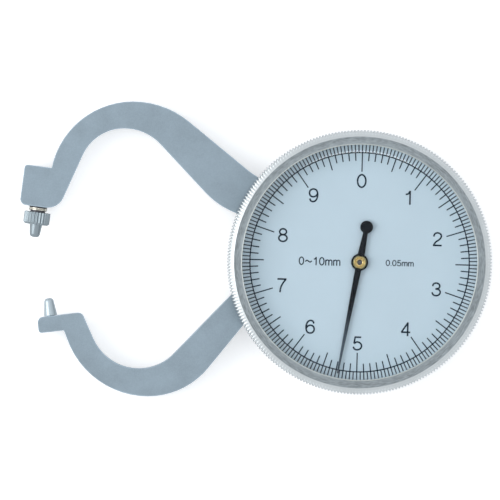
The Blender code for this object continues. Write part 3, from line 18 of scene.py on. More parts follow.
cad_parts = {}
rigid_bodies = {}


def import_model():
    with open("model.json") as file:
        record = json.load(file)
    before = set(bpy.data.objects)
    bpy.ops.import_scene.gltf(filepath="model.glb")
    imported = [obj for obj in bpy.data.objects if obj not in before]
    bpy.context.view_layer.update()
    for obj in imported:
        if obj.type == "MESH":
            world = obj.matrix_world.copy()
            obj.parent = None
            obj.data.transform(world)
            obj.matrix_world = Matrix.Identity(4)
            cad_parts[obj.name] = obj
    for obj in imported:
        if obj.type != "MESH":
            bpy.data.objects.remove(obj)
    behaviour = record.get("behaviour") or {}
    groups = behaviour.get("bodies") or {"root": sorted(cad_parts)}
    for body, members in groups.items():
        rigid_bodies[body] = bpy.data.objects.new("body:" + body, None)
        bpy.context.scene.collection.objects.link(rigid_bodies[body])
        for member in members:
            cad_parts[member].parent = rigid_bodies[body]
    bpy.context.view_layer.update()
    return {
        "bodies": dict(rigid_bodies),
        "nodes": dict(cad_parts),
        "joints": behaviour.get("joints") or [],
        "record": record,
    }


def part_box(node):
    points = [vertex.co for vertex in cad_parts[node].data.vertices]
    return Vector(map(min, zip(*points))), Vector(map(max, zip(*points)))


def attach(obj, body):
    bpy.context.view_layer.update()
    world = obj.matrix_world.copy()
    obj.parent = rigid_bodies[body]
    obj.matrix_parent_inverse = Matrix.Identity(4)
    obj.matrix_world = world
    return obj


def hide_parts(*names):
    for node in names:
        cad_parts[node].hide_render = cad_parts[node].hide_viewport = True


Colour = tuple[float, float, float]
Profile = list[tuple[float, float]]
Corners = list[tuple[float, float, float]]
Material = bpy.types.Material
Piece = bpy.types.Object
Shape = bmesh.types.BMesh
Socket = bpy.types.NodeSocket
Effect = Callable[[], bpy.types.NodeTree]

LOG = logging.getLogger("gauge")
WELD = 1e-7
FLAT_ANGLE = math.radians(1.0)
SHARP_ANGLE = math.radians(30.0)
SMOOTH_LIMIT = math.radians(50.0)
FILLET_STEPS = 4
FINE_STEPS = 9
FINE_FILLET = 0.0003
SHARED_REACH = 0.49
FREE_REACH = 0.98
FINE_SEGMENTS = 192
SMALL_SEGMENTS = 48
SECTOR_DOUBLINGS = 3
FLAT_CREST = math.pi / 4
STREAK_RATIO = 6.0
NOISE_LOW = 0.32
NOISE_HIGH = 0.68
BROAD_DETAIL = 3.0
FINE_DETAIL = 2.0
HIGHLIGHT_SAMPLES = 4
HIGHLIGHT_GAIN = 6.0
HIGHLIGHT_BREAKUP = 0.6
PAINT_RELIEF = 0.25
WHITE = (1.0, 1.0, 1.0)
GLYPH_UNITS = 100


class Grain(Enum):
    """Kinds of fine surface marks on a metal."""

    EVEN = "even"
    TURNED = "turned"


class Slot(Enum):
    """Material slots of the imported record."""

    CASE = "case_metal"
    SATIN = "satin_chrome"
    BRIGHT = "bright_chrome"
    STEEL = "steel"
    BRASS = "brass"
    DIAL = "dial_paint"
    POINTER = "pointer_black"
    SPACER = "spacer_plastic"
    CRYSTAL = "crystal_clear"


def shade(colour: Colour, factor: float) -> Colour:
    """Return a colour made lighter or darker."""
    return tuple(min(1.0, value * factor) for value in colour)


@dataclass
class NodeBench:
    """A node tree that is being wired up."""

    tree: bpy.types.NodeTree

    def add(self, kind: str, inputs: dict | None = None, **settings: object) -> bpy.types.Node:
        """Add a node, set its own properties and fill its inputs.

        Args:
            kind: Blender's type name of the node.
            inputs: Sockets or plain values, by name or number of the input.
            settings: Properties of the node, by name.

        Returns:
            The new node.
        """
        node = self.tree.nodes.new(kind)
        for name, value in settings.items():
            setattr(node, name, value)
        self.fill(node, inputs or {})
        return node

    def fill(self, node: bpy.types.Node, inputs: dict) -> None:
        """Wire a node's inputs, or set their own values.

        Args:
            node: The node.
            inputs: Sockets or plain values, by name or number of the input.
        """
        for name, value in inputs.items():
            slot = node.inputs[name]
            if isinstance(value, Socket):
                self.tree.links.new(value, slot)
            else:
                slot.default_value = (*value, 1.0) if slot.type == "RGBA" else value

    def use(self, effect: Effect, **inputs: object) -> bpy.types.NodeOutputs:
        """Return the outputs of a shared effect, whose group is built the first time."""
        group = bpy.data.node_groups.get(effect.__name__) or effect()
        return self.add("ShaderNodeGroup", inputs, node_tree=group).outputs

    def math(self, operation: str, first: object, second: object) -> Socket:
        """Return the result of a Math node on two sockets or numbers."""
        return self.add("ShaderNodeMath", {0: first, 1: second}, operation=operation).outputs[0]

    def blend(self, share: Socket, low: object, high: object) -> Socket:
        """Return a mix of two colours, which may be sockets."""
        inputs = {"Factor": share, 6: low, 7: high}
        return self.add("ShaderNodeMix", inputs, data_type="RGBA").outputs[2]

    def mottle(self, share: Socket, colour: Colour, spread: float) -> Socket:
        """Return a colour that goes from darker to lighter with a share."""
        return self.blend(share, shade(colour, 1.0 - spread), shade(colour, 1.0 + spread))

    def span(self, share: Socket, middle: float, spread: float) -> Socket:
        """Return a value that goes as far below a middle as above it with a share."""
        inputs = {"Value": share, "To Min": middle - spread, "To Max": middle + spread}
        return self.add("ShaderNodeMapRange", inputs).outputs["Result"]

    def noise(self, place: Socket, scale: object, detail: float) -> Socket:
        """Return a noise that is spread over 0 to 1.

        Args:
            place: Coordinates that it reads.
            scale: Socket or number.
            detail: Number of its finer levels.

        Returns:
            The noise's socket.
        """
        noise = self.add("ShaderNodeTexNoise", {"Vector": place, "Scale": scale, "Detail": detail})
        inputs = {"Value": noise.outputs["Fac"], "From Min": NOISE_LOW, "From Max": NOISE_HIGH}
        return self.add("ShaderNodeMapRange", inputs).outputs["Result"]

    def radius(self, place: Socket) -> Socket:
        """Return the distance of a place from the Z axis."""
        flat = self.add("ShaderNodeVectorMath", {0: place, 1: (1.0, 1.0, 0.0)}, operation="MULTIPLY")
        size = self.add("ShaderNodeVectorMath", {0: flat.outputs[0]}, operation="LENGTH")
        return size.outputs["Value"]

    def relief(self, height: Socket, strength: float, depth: float) -> Socket:
        """Return the normal of a surface with a fine relief."""
        inputs = {"Height": height, "Strength": strength, "Distance": depth}
        return self.add("ShaderNodeBump", inputs).outputs[0]

    def patches(self, patch: float, speck: float) -> tuple[Socket, Socket, Socket]:
        """Add the uneven patches of a surface.

        Args:
            patch: Size of the broad patches.
            speck: Size of the fine ones.

        Returns:
            The object coordinates, the broad patches and the fine ones.
        """
        place = self.add("ShaderNodeTexCoord").outputs["Object"]
        made = self.use(uneven_patches, Vector=place, Patch=patch, Speck=speck)
        return place, made["Broad"], made["Fine"]

    def surface(self, shader: Socket) -> None:
        """Wire a shader to the output node of the tree."""
        output = next(node for node in self.tree.nodes if "Surface" in node.inputs)
        self.fill(output, {"Surface": shader})

    def by_ray(self, ray: str, usual: Socket, other: Socket) -> None:
        """Show one kind of ray another shader.

        Args:
            ray: Name of the kind on the Light Path node.
            usual: Shader for every other kind.
            other: Shader for this kind.
        """
        share = self.add("ShaderNodeLightPath").outputs[ray]
        mix = self.add("ShaderNodeMixShader", {"Fac": share, 1: usual, 2: other})
        self.surface(mix.outputs[0])


def new_group(name: str, inputs: tuple[str, ...], outputs: tuple[str, ...]) -> tuple:
    """Start a shader node group.

    Args:
        name: Name of the group.
        inputs: Names of its inputs, where Vector is a vector and the others are numbers.
        outputs: Names of its outputs, which are numbers.

    Returns:
        The group, its bench, the sockets of its inputs and its output node.
    """
    group = bpy.data.node_groups.new(name, "ShaderNodeTree")
    for side, labels in (("INPUT", inputs), ("OUTPUT", outputs)):
        for label in labels:
            kind = "NodeSocketVector" if label == "Vector" else "NodeSocketFloat"
            group.interface.new_socket(label, in_out=side, socket_type=kind)
    bench = NodeBench(group)
    return group, bench, bench.add("NodeGroupInput").outputs, bench.add("NodeGroupOutput")


def uneven_patches() -> bpy.types.NodeTree:
    """Build the group for cloudy and fine uneven patches.

    Returns:
        A group with Vector, Patch and Speck inputs and Broad and Fine outputs.
    """
    group, bench, given, result = new_group("uneven_patches", ("Vector", "Patch", "Speck"),
                                            ("Broad", "Fine"))
    for label, size, detail in (("Broad", "Patch", BROAD_DETAIL), ("Fine", "Speck", FINE_DETAIL)):
        scale = bench.math("DIVIDE", 1.0, given[size])
        bench.fill(result, {label: bench.noise(given["Vector"], scale, detail)})
    return group


def turned_rings() -> bpy.types.NodeTree:
    """Build the group for the fine broken rings that a lathe leaves round an axis.

    Returns:
        A group with Vector and Pitch inputs and a Rings output.
    """
    group, bench, given, result = new_group("turned_rings", ("Vector", "Pitch"), ("Rings",))
    axes = bench.add("ShaderNodeSeparateXYZ", {0: given["Vector"]}).outputs
    along = bench.math("ADD", bench.radius(given["Vector"]), axes["Z"])
    streak = bench.math("MULTIPLY", given["Pitch"], STREAK_RATIO)
    place = bench.add("ShaderNodeCombineXYZ", {
        "X": bench.math("DIVIDE", along, given["Pitch"]),
        "Y": bench.math("DIVIDE", axes["X"], streak),
        "Z": bench.math("DIVIDE", axes["Y"], streak)})
    bench.fill(result, {"Rings": bench.noise(place.outputs[0], 1.0, FINE_DETAIL)})
    return group


def rim_tone() -> bpy.types.NodeTree:
    """Build the group for painted light and shade that gathers towards the rim of a disc.

    Returns:
        A group with Vector, Start and End inputs and a Shade output.
    """
    group, bench, given, result = new_group("rim_tone", ("Vector", "Start", "End"), ("Shade",))
    inputs = {"Value": bench.radius(given["Vector"]), "From Min": given["Start"],
              "From Max": given["End"]}
    ramp = bench.add("ShaderNodeMapRange", inputs, interpolation_type="SMOOTHSTEP")
    bench.fill(result, {"Shade": ramp.outputs["Result"]})
    return group


# Painted highlight: the edges this finds get a lighter colour, standing in for light caught by
# rounded edges.
def rubbed_edges() -> bpy.types.NodeTree:
    """Build the group that finds the outer edges that get a painted highlight.

    Returns:
        A group with Reach and Breakup inputs and an Edge output.
    """
    group, bench, given, result = new_group("rubbed_edges", ("Reach", "Breakup"), ("Edge",))
    softened = bench.add("ShaderNodeBevel", {"Radius": given["Reach"]}, samples=HIGHLIGHT_SAMPLES)
    true = bench.add("ShaderNodeNewGeometry").outputs["True Normal"]
    match = bench.add("ShaderNodeVectorMath", {0: softened.outputs[0], 1: true},
                      operation="DOT_PRODUCT")
    apart = bench.math("SUBTRACT", 1.0, match.outputs["Value"])
    edge_share = bench.math("MULTIPLY", bench.math("MULTIPLY", apart, given["Breakup"]), HIGHLIGHT_GAIN)
    limit = bench.add("ShaderNodeClamp", {"Value": edge_share})
    bench.fill(result, {"Edge": limit.outputs[0]})
    return group


def start_material(name: str) -> tuple[Material, NodeBench, bpy.types.Node]:
    """Make a material that holds one Principled shader.

    Args:
        name: Name of the material.

    Returns:
        The material, its bench and its shader node.
    """
    material = bpy.data.materials.new(name)
    material.use_nodes = True
    return material, NodeBench(material.node_tree), material.node_tree.nodes["Principled BSDF"]


@dataclass(frozen=True)
class MetalFinish:
    """A bare or plated metal with grain, uneven patches and a painted highlight on its outer edges.
    """

    name: str
    colour: Colour
    roughness: float
    grain: Grain = Grain.EVEN
    grain_size: float = 0.00012
    grain_depth: float = 0.000004
    grain_strength: float = 0.3
    patch_size: float = 0.006
    unevenness: float = 0.05
    marks_share: float = 0.4
    roughness_spread: float = 0.05
    # edge_reach and edge_light set the painted edge highlight: how far in it reaches and how much
    # lighter the colour gets.
    edge_reach: float = 0.00025
    edge_light: float = 1.25

    def build(self) -> Material:
        """Wire up the metal.

        Returns:
            The finished material.
        """
        material, bench, shader = start_material(self.name)
        place, broad, marks = bench.patches(self.patch_size, self.grain_size)
        if self.grain is Grain.TURNED:
            marks = bench.use(turned_rings, Vector=place, Pitch=self.grain_size)["Rings"]
        # Painted highlight: outer edges are blended towards edge_light times the metal's own colour.
        edges = bench.use(rubbed_edges, Reach=self.edge_reach,
                          Breakup=bench.span(broad, 1.0, HIGHLIGHT_BREAKUP))
        clouds = bench.math("MULTIPLY", broad, 1.0 - self.marks_share)
        uneven = bench.math("ADD", clouds, bench.math("MULTIPLY", marks, self.marks_share))
        plain = bench.mottle(uneven, self.colour, self.unevenness)
        bench.fill(shader, {
            "Metallic": 1.0,
            "Base Color": bench.blend(edges["Edge"], plain, shade(self.colour, self.edge_light)),
            "Roughness": bench.span(uneven, self.roughness, self.roughness_spread),
            "Normal": bench.relief(marks, self.grain_strength, self.grain_depth)})
        return material


@dataclass(frozen=True)
class PaintFinish:
    """A paint, lacquer, ink or plain plastic with a faint texture, and painted light that can gather
    towards a rim.
    """

    name: str
    colour: Colour
    roughness: float
    patch_size: float = 0.008
    speck_size: float = 0.00015
    unevenness: float = 0.02
    roughness_spread: float = 0.04
    texture_depth: float = 0.000003
    shine: float = 0.5
    rim_start: float = 0.0
    rim_end: float = 0.0
    rim_tone: Colour = WHITE

    def build(self) -> Material:
        """Wire up the paint.

        Returns:
            The finished material.
        """
        material, bench, shader = start_material(self.name)
        place, broad, fine = bench.patches(self.patch_size, self.speck_size)
        colour = bench.mottle(broad, self.colour, self.unevenness)
        # Painted light: from rim_start to rim_end the colour is scaled towards a rim colour, as
        # painted shade on the dial and a painted reflection on the pointer.
        if self.rim_end > 0.0:
            rim = bench.use(rim_tone, Vector=place, Start=self.rim_start, End=self.rim_end)
            at_rim = tuple(value * tone for value, tone in zip(self.colour, self.rim_tone))
            colour = bench.blend(rim["Shade"], colour, at_rim)
        bench.fill(shader, {
            "Specular IOR Level": self.shine,
            "Base Color": colour,
            "Roughness": bench.span(fine, self.roughness, self.roughness_spread),
            "Normal": bench.relief(fine, PAINT_RELIEF, self.texture_depth)})
        return material


@dataclass(frozen=True)
class CrystalFinish:
    """Clear polished plastic that lets light through to the dial."""

    name: str = "clear_crystal"
    colour: Colour = (0.985, 0.994, 1.0)
    refraction: float = 1.14
    patch_size: float = 0.012
    speck_size: float = 0.0015
    smear: float = 0.015
    coat: float = 0.0
    coat_refraction: float = 1.8

    def build(self) -> Material:
        """Wire up the crystal.

        Returns:
            The finished material.
        """
        material, bench, shader = start_material(self.name)
        broad = bench.patches(self.patch_size, self.speck_size)[1]
        bench.fill(shader, {
            "Base Color": self.colour, "Transmission Weight": 1.0, "IOR": self.refraction,
            "Coat Weight": self.coat, "Coat IOR": self.coat_refraction,
            "Roughness": bench.span(broad, self.smear, self.smear)})
        clear = bench.add("ShaderNodeBsdfTransparent", {"Color": self.colour})
        bench.by_ray("Is Shadow Ray", shader.outputs[0], clear.outputs[0])
        return material


class Finishes:
    """Every material of the gauge, built once."""

    def __init__(self) -> None:
        """Build the materials."""
        self.satin = MetalFinish("satin_plating", (0.287, 0.352, 0.399), 0.46, grain_size=0.0003,
                                 patch_size=0.005, unevenness=0.12, edge_reach=0.0004,
                                 edge_light=1.7).build()
        self.bright = MetalFinish("bright_plating", (0.58, 0.61, 0.615), 0.40,
                                  grain_size=0.0005, grain_strength=0.05,
                                  unevenness=0.04).build()
        self.ring = MetalFinish("turned_ring", (0.264, 0.294, 0.306), 0.52, Grain.TURNED,
                                grain_size=0.0002, unevenness=0.34, marks_share=0.9,
                                edge_light=1.5).build()
        self.lip = MetalFinish("turned_lip", (0.47, 0.50, 0.48), 0.5, Grain.TURNED,
                               unevenness=0.12).build()
        # Painted light: both anvils are one ground steel, given as a darker copy for the fluted anvil
        # and a lighter copy for the cone pin to match how light falls on each.
        self.anvil = MetalFinish("ground_anvil", (0.288, 0.336, 0.36), 0.36, grain_size=0.0002,
                                 grain_strength=0.12, unevenness=0.05, edge_light=1.3).build()
        self.pin = MetalFinish("ground_pin", (0.45, 0.52, 0.555), 0.38,
                               unevenness=0.05, edge_light=1.2).build()
        self.neck = MetalFinish("bright_neck", (0.62, 0.60, 0.53), 0.14).build()
        self.case = MetalFinish("case_plating", (0.36, 0.40, 0.43), 0.42, grain_size=0.0003,
                                unevenness=0.06, edge_light=1.4).build()
        self.back = MetalFinish("turned_back", (0.40, 0.43, 0.45), 0.36, Grain.TURNED,
                                grain_size=0.0003, unevenness=0.08, edge_light=1.35).build()
        self.steel = MetalFinish("bare_steel", (0.34, 0.34, 0.35), 0.32, Grain.TURNED,
                                 grain_size=0.00008, unevenness=0.08, edge_light=1.5).build()
        # Near-black steel is painted shade: it darkens the arbor end at the bottom of the cap's bore
        # and the shaded bands of the anvil's neck.
        self.arbor = MetalFinish("steel_painted_shade", (0.10, 0.10, 0.11), 0.4, Grain.TURNED,
                                 grain_size=0.00008, unevenness=0.08).build()
        self.brass = MetalFinish("turned_brass", (0.46, 0.355, 0.155), 0.24, Grain.TURNED,
                                 grain_size=0.00006, unevenness=0.08, edge_light=1.35).build()
        # The dial paint carries painted shade: it is slightly darker towards its rim, standing in for
        # the bezel's shadow.
        self.dial = PaintFinish("dial_enamel", (0.487, 0.598, 0.662), 0.5, rim_start=0.015,
                                rim_end=0.026, rim_tone=(0.99, 1.0, 1.0),
                                unevenness=0.012).build()
        self.ink = PaintFinish("dial_ink", (0.016, 0.030, 0.048), 0.55, unevenness=0.08,
                               shine=0.1).build()
        # The pointer's lacquer carries a painted reflection: its blade is painted lighter and warmer
        # towards the tip, standing in for a reflection in the crystal.
        self.black = PaintFinish("black_lacquer", (0.006, 0.008, 0.011), 0.36, rim_start=0.0085,
                                 rim_end=0.022, rim_tone=(13.0, 13.0, 11.5), unevenness=0.10,
                                 shine=0.07).build()
        self.spacer = PaintFinish("pale_spacer", (0.56, 0.62, 0.65), 0.5).build()
        self.crystal = CrystalFinish().build()
        self.crystal_rim = CrystalFinish("clear_crystal_rim", refraction=1.2, coat=0.4).build()

    def by_slot(self) -> dict[Slot, Material]:
        """Return the material that a plain node of each record slot wears."""
        return dict(zip(Slot, (self.case, self.satin, self.bright, self.steel, self.brass,
                               self.dial, self.black, self.spacer, self.crystal)))


def rounded(corners: Corners, closed: bool) -> Profile:
    """Round off the corners of a section.

    Args:
        corners: Points as (radius, height, fillet).
        closed: Whether the last point joins the first.

    Returns:
        The points of the rounded section.
    """
    points: Profile = []
    last = len(corners) - 1
    for index, (x, y, fillet) in enumerate(corners):
        is_end = not closed and index in (0, last)
        if fillet == 0.0 or is_end:
            points.append((x, y))
            continue
        here = Vector((x, y))
        following = (index + 1) % len(corners)
        before = Vector(corners[index - 1][:2]) - here
        after = Vector(corners[following][:2]) - here
        reach = fillet / math.tan(before.angle(after) / 2)
        back, ahead = (min(reach, side.length * (SHARED_REACH if corners[near][2] else FREE_REACH))
                       for side, near in ((before, index - 1), (after, following)))
        start = here + before.normalized() * back
        end = here + after.normalized() * ahead
        steps = FINE_STEPS if fillet > FINE_FILLET else FILLET_STEPS
        for step in range(steps + 1):
            share = step / steps
            point = start.lerp(here, share).lerp(here.lerp(end, share), share)
            points.append((point.x, point.y))
    return points


def verts_of(made: list) -> list[bmesh.types.BMVert]:
    """Return the vertices among what an operator made."""
    return [item for item in made if isinstance(item, bmesh.types.BMVert)]


def axis_distance(point: Vector) -> float:
    """Return the distance of a point from the Z axis."""
    return math.hypot(point.x, point.y)


def turn(corners: Corners, segments: int) -> Shape:
    """Spin a section round the Z axis.

    Args:
        corners: Section as (radius, height, fillet), a closed ring unless it starts on the axis.
        segments: Steps of the full turn, a multiple of eight.

    Returns:
        A closed body of revolution.
    """
    closed = corners[0][0] > 0.0
    bm = bmesh.new()
    points = [bm.verts.new((radius, 0.0, height)) for radius, height in rounded(corners, closed)]
    ends = points[1:] + points[:1] if closed else points[1:]
    edges = [bm.edges.new(pair) for pair in zip(points, ends)]
    angle = math.tau / 2 ** SECTOR_DOUBLINGS
    bmesh.ops.spin(bm, geom=points + edges, cent=(0, 0, 0), axis=(0, 0, 1), dvec=(0, 0, 0),
                   angle=angle, steps=segments // 2 ** SECTOR_DOUBLINGS, use_duplicate=False)
    for _ in range(SECTOR_DOUBLINGS):
        whole = bm.verts[:] + bm.edges[:] + bm.faces[:]
        copied = bmesh.ops.duplicate(bm, geom=whole)["geom"]
        bmesh.ops.rotate(bm, verts=verts_of(copied), cent=(0, 0, 0),
                         matrix=Matrix.Rotation(angle, 3, "Z"))
        angle *= 2
    bmesh.ops.remove_doubles(bm, verts=bm.verts, dist=WELD)
    bmesh.ops.recalc_face_normals(bm, faces=bm.faces)
    return bm


@dataclass(frozen=True)
class Flutes:
    """Straight flutes in the outer wall of a body of revolution, fading out towards its axis."""

    count: int
    depth: float
    low: float
    high: float
    inner_radius: float
    full_radius: float
    phase: float = 0.0

    def press(self, bm: Shape) -> None:
        """Press the flutes into a body whose columns are a whole number to each of them.

        Args:
            bm: The body.
        """
        for vert in bm.verts:
            radius = axis_distance(vert.co)
            if radius < self.inner_radius or not self.low <= vert.co.z <= self.high:
                continue
            angle = math.atan2(vert.co.y, vert.co.x) * self.count + self.phase
            share = min(1.0, (radius - self.inner_radius) / (self.full_radius - self.inner_radius))
            pressed = self.depth * (1.0 - math.cos(angle)) / 2 * share
            factor = (radius - pressed) / radius
            vert.co.x *= factor
            vert.co.y *= factor


def outward(bm: Shape, place: Matrix) -> None:
    """Set a body in its place with its faces pointing out."""
    bmesh.ops.transform(bm, matrix=place, verts=bm.verts)
    bmesh.ops.recalc_face_normals(bm, faces=bm.faces)


def to_mesh(name: str, bm: Shape) -> bpy.types.Mesh:
    """Turn an edited mesh, which is used up, into a plain one.

    Args:
        name: Name of the mesh.
        bm: The edited mesh.

    Returns:
        The plain mesh.
    """
    mesh = bpy.data.meshes.new(name)
    bm.to_mesh(mesh)
    bm.free()
    return mesh


def add_object(name: str, data: bpy.types.ID) -> Piece:
    """Make an object of some data and put it in the scene.

    Args:
        name: Name of the object.
        data: Its mesh, lamp or camera data.

    Returns:
        The new object.
    """
    made = bpy.data.objects.new(name, data)
    bpy.context.scene.collection.objects.link(made)
    return made


def make_piece(name: str, bm: Shape, materials: list[Material], body: str,
               replaced: str | None = None) -> Piece:
    """Turn an edited mesh into a finished piece of the gauge.

    Args:
        name: Name of the piece.
        bm: Its mesh, in place.
        materials: Its materials, in the order of their indices.
        body: Body that carries it.
        replaced: CAD node that it stands for.

    Returns:
        The new object.
    """
    mesh = to_mesh(name, bm)
    for material in materials:
        mesh.materials.append(material)
    mesh.shade_smooth()
    mesh.set_sharp_from_angle(angle=SMOOTH_LIMIT)
    piece = add_object(name, mesh)
    piece.modifiers.new("even_normals", "WEIGHTED_NORMAL").keep_sharp = True
    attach(piece, body)
    if replaced is not None:
        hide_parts(replaced)
    LOG.info("%s: %d faces on %s", name, len(mesh.polygons), body)
    return piece


def axis_place(point: Vector, direction: Vector) -> Matrix:
    """Return the matrix that sets a body's Z axis along a direction, from a point."""
    return Matrix.Translation(point) @ direction.to_track_quat("Z", "Y").to_matrix().to_4x4()


def mid(name: str) -> Vector:
    """Return the middle of a CAD node's box."""
    low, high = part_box(name)
    return (Vector(low) + Vector(high)) / 2


def prism(bm: Shape, corners: Profile, low: float, high: float) -> None:
    """Add a flat plate with a drawn outline to a mesh.

    Args:
        bm: Mesh that gets the plate.
        corners: Outline as (x, y), counter-clockwise.
        low: Height of its underside.
        high: Height of its top.
    """
    face = bm.faces.new([bm.verts.new((x, y, low)) for x, y in corners])
    raised = bmesh.ops.extrude_face_region(bm, geom=[face])["geom"]
    bmesh.ops.translate(bm, verts=verts_of(raised), vec=(0.0, 0.0, high - low))


@dataclass
class SoftenedNode:
    """A copy of a CAD node whose outer edges are broken."""

    frame: dict
    node: str
    body: str
    material: Material
    slot: Slot
    edge: float
    bare_radius: float
    edge_segments: int = 3

    def build(self) -> list[Piece]:
        """Copy, weld and soften the node.

        Returns:
            The piece that stands for the node.
        """
        bm = bmesh.new()
        bm.from_mesh(self.frame["nodes"][self.node].data)
        bmesh.ops.remove_doubles(bm, verts=bm.verts, dist=WELD)
        bmesh.ops.dissolve_limit(bm, angle_limit=FLAT_ANGLE, verts=bm.verts, edges=bm.edges)
        sharp = [edge for edge in bm.edges if self.is_outer_edge(edge)]
        bmesh.ops.bevel(bm, geom=sharp, offset=self.edge, offset_type="OFFSET", affect="EDGES",
                        segments=self.edge_segments, profile=0.5, material=-1,
                        clamp_overlap=True)
        return [make_piece(f"{self.node}_softened", bm, [self.material], self.body,
                           self.node)]

    def is_outer_edge(self, edge: bmesh.types.BMEdge) -> bool:
        """Return whether an edge is sharp and outside the hidden middle of the gauge."""
        if not edge.is_manifold or edge.calc_face_angle() < SHARP_ANGLE:
            return False
        return all(axis_distance(vert.co) >= self.bare_radius for vert in edge.verts)


@dataclass
class Bezel:
    """Turning bezel with a fine straight knurl, a round shoulder and a turned face ring."""

    finishes: Finishes
    knurl_teeth: int = 254
    columns_to_tooth: int = 4
    knurl_depth: float = 0.00056
    knurl_rise: float = 0.00025
    knurl_inner_share: float = 0.965
    wall: float = 0.0018
    skirt_chamfer: float = 0.0005
    shoulder_width: float = 0.00155
    shoulder_drop: float = 0.0006
    shoulder_fillet: float = 0.0005
    face_drop: float = 0.00022
    ledge: float = 0.0006
    ledge_rise: float = 0.0003
    lip: float = 0.0004
    lip_edge: float = 0.0002
    lip_rise: float = 0.00006
    lip_thickness: float = 0.00035
    fillet: float = 0.00012
    ridge_fillet: float = 0.00003
    groove_gap: float = 0.0003
    least_slope: float = 0.3

    def __post_init__(self) -> None:
        """Work out the main radii from the CAD bezel."""
        self.low, self.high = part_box("bezel")
        self.tip = self.high[0] + self.knurl_rise
        self.knurl_end = self.tip * self.knurl_inner_share
        self.ridge = self.tip - self.shoulder_width
        self.skirt = self.high[0] - self.wall
        self.bore = self.skirt - self.ledge
        self.lip_bore = self.bore - self.groove_gap - self.lip

    def corners(self) -> Corners:
        """Work out the section from the CAD nodes round it.

        Returns:
            The closed section as (radius, height, fillet).
        """
        bottom, top = self.low[2], self.high[2]
        tip, lip, bore, skirt = self.tip, self.lip_bore, self.bore, self.skirt
        face = top - self.face_drop
        lip_low = face - self.lip_thickness
        knurl_share = (self.knurl_end - self.ridge) / self.shoulder_width
        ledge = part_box("case_ring")[1][2] + self.ledge_rise
        return [
            (skirt, bottom, self.fillet), (tip - self.skirt_chamfer, bottom, self.fillet),
            (tip, bottom + self.skirt_chamfer, 0.0),
            (tip, top - self.shoulder_drop, self.shoulder_fillet),
            (self.knurl_end, top - self.shoulder_drop * knurl_share, 0.0),
            (self.ridge, top, self.ridge_fillet),
            (lip + self.lip_edge, face - self.lip_rise, 0.0), (lip + self.lip_edge / 2, face, 0.0),
            (lip, face - self.lip_rise, 0.0), (lip, lip_low, 0.0), (bore, lip_low, 0.0),
            *self.groove(bore, "dial_clamp_ring"), (bore, ledge, 0.0), (skirt, ledge, 0.0),
            *self.groove(skirt, "bezel_spring")]

    def groove(self, wall: float, node: str) -> Corners:
        """Return the groove round a snap ring, from its top down.

        Args:
            wall: Radius of the wall that it is cut into.
            node: CAD node of the snap ring.

        Returns:
            Four corners of the section.
        """
        low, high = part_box(node)
        deep = -low[0] + self.groove_gap
        upper = high[2] + self.groove_gap
        lower = low[2] - self.groove_gap
        return [(wall, upper, 0.0), (deep, upper, 0.0), (deep, lower, 0.0), (wall, lower, 0.0)]

    def build(self) -> list[Piece]:
        """Turn and knurl the bezel.

        Returns:
            The bezel.
        """
        bm = turn(self.corners(), self.knurl_teeth * self.columns_to_tooth)
        Flutes(self.knurl_teeth, self.knurl_depth, self.low[2] + self.fillet, self.high[2],
               self.knurl_end, self.tip - self.knurl_depth / 2, FLAT_CREST).press(bm)
        floor = self.high[2] - self.wall
        inner = self.lip_bore + self.lip_edge
        for face in bm.faces:
            centre = face.calc_center_median()
            radius = axis_distance(centre)
            on_top = centre.z > floor and face.normal.z > self.least_slope
            if on_top and radius < self.ridge:
                face.material_index = 1 if radius > inner else 2
        finishes = [self.finishes.bright, self.finishes.ring, self.finishes.lip]
        return [make_piece("knurled_bezel", bm, finishes, "bezel", "bezel")]


@dataclass(frozen=True)
class Stroke:
    """One pen stroke of a character, in hundredths of the height of its centre lines."""

    points: tuple[tuple[int, int], ...]
    curved: bool = True
    closed: bool = False

    def path(self, steps: int) -> list[Vector]:
        """Return the stroke's centre line, with its curves cut into short steps.

        Args:
            steps: Steps between two points.

        Returns:
            Points of the centre line, on a height of one.
        """
        knots = [Vector((x / GLYPH_UNITS, y / GLYPH_UNITS, 0.0)) for x, y in self.points]
        if not self.curved:
            return knots
        count = len(knots)
        path: list[Vector] = []
        for index in range(count if self.closed else count - 1):
            here, ahead = knots[index], knots[(index + 1) % count]
            before = knots[index - 1] if self.closed or index else here
            beyond = knots[(index + 2) % count] if self.closed or index + 2 < count else ahead
            bend = geometry.interpolate_bezier(here, here + (ahead - before) / 6,
                                               ahead - (beyond - here) / 6, ahead, steps + 1)
            path += bend[:-1]
        return path if self.closed else path + [knots[-1]]


def line(*points: tuple[int, int]) -> Stroke:
    """Return a straight stroke."""
    return Stroke(points, curved=False)


def curve(*points: tuple[int, int]) -> Stroke:
    """Return a curved stroke."""
    return Stroke(points)


def loop(*points: tuple[int, int]) -> Stroke:
    """Return a curved stroke whose ends join."""
    return Stroke(points, closed=True)


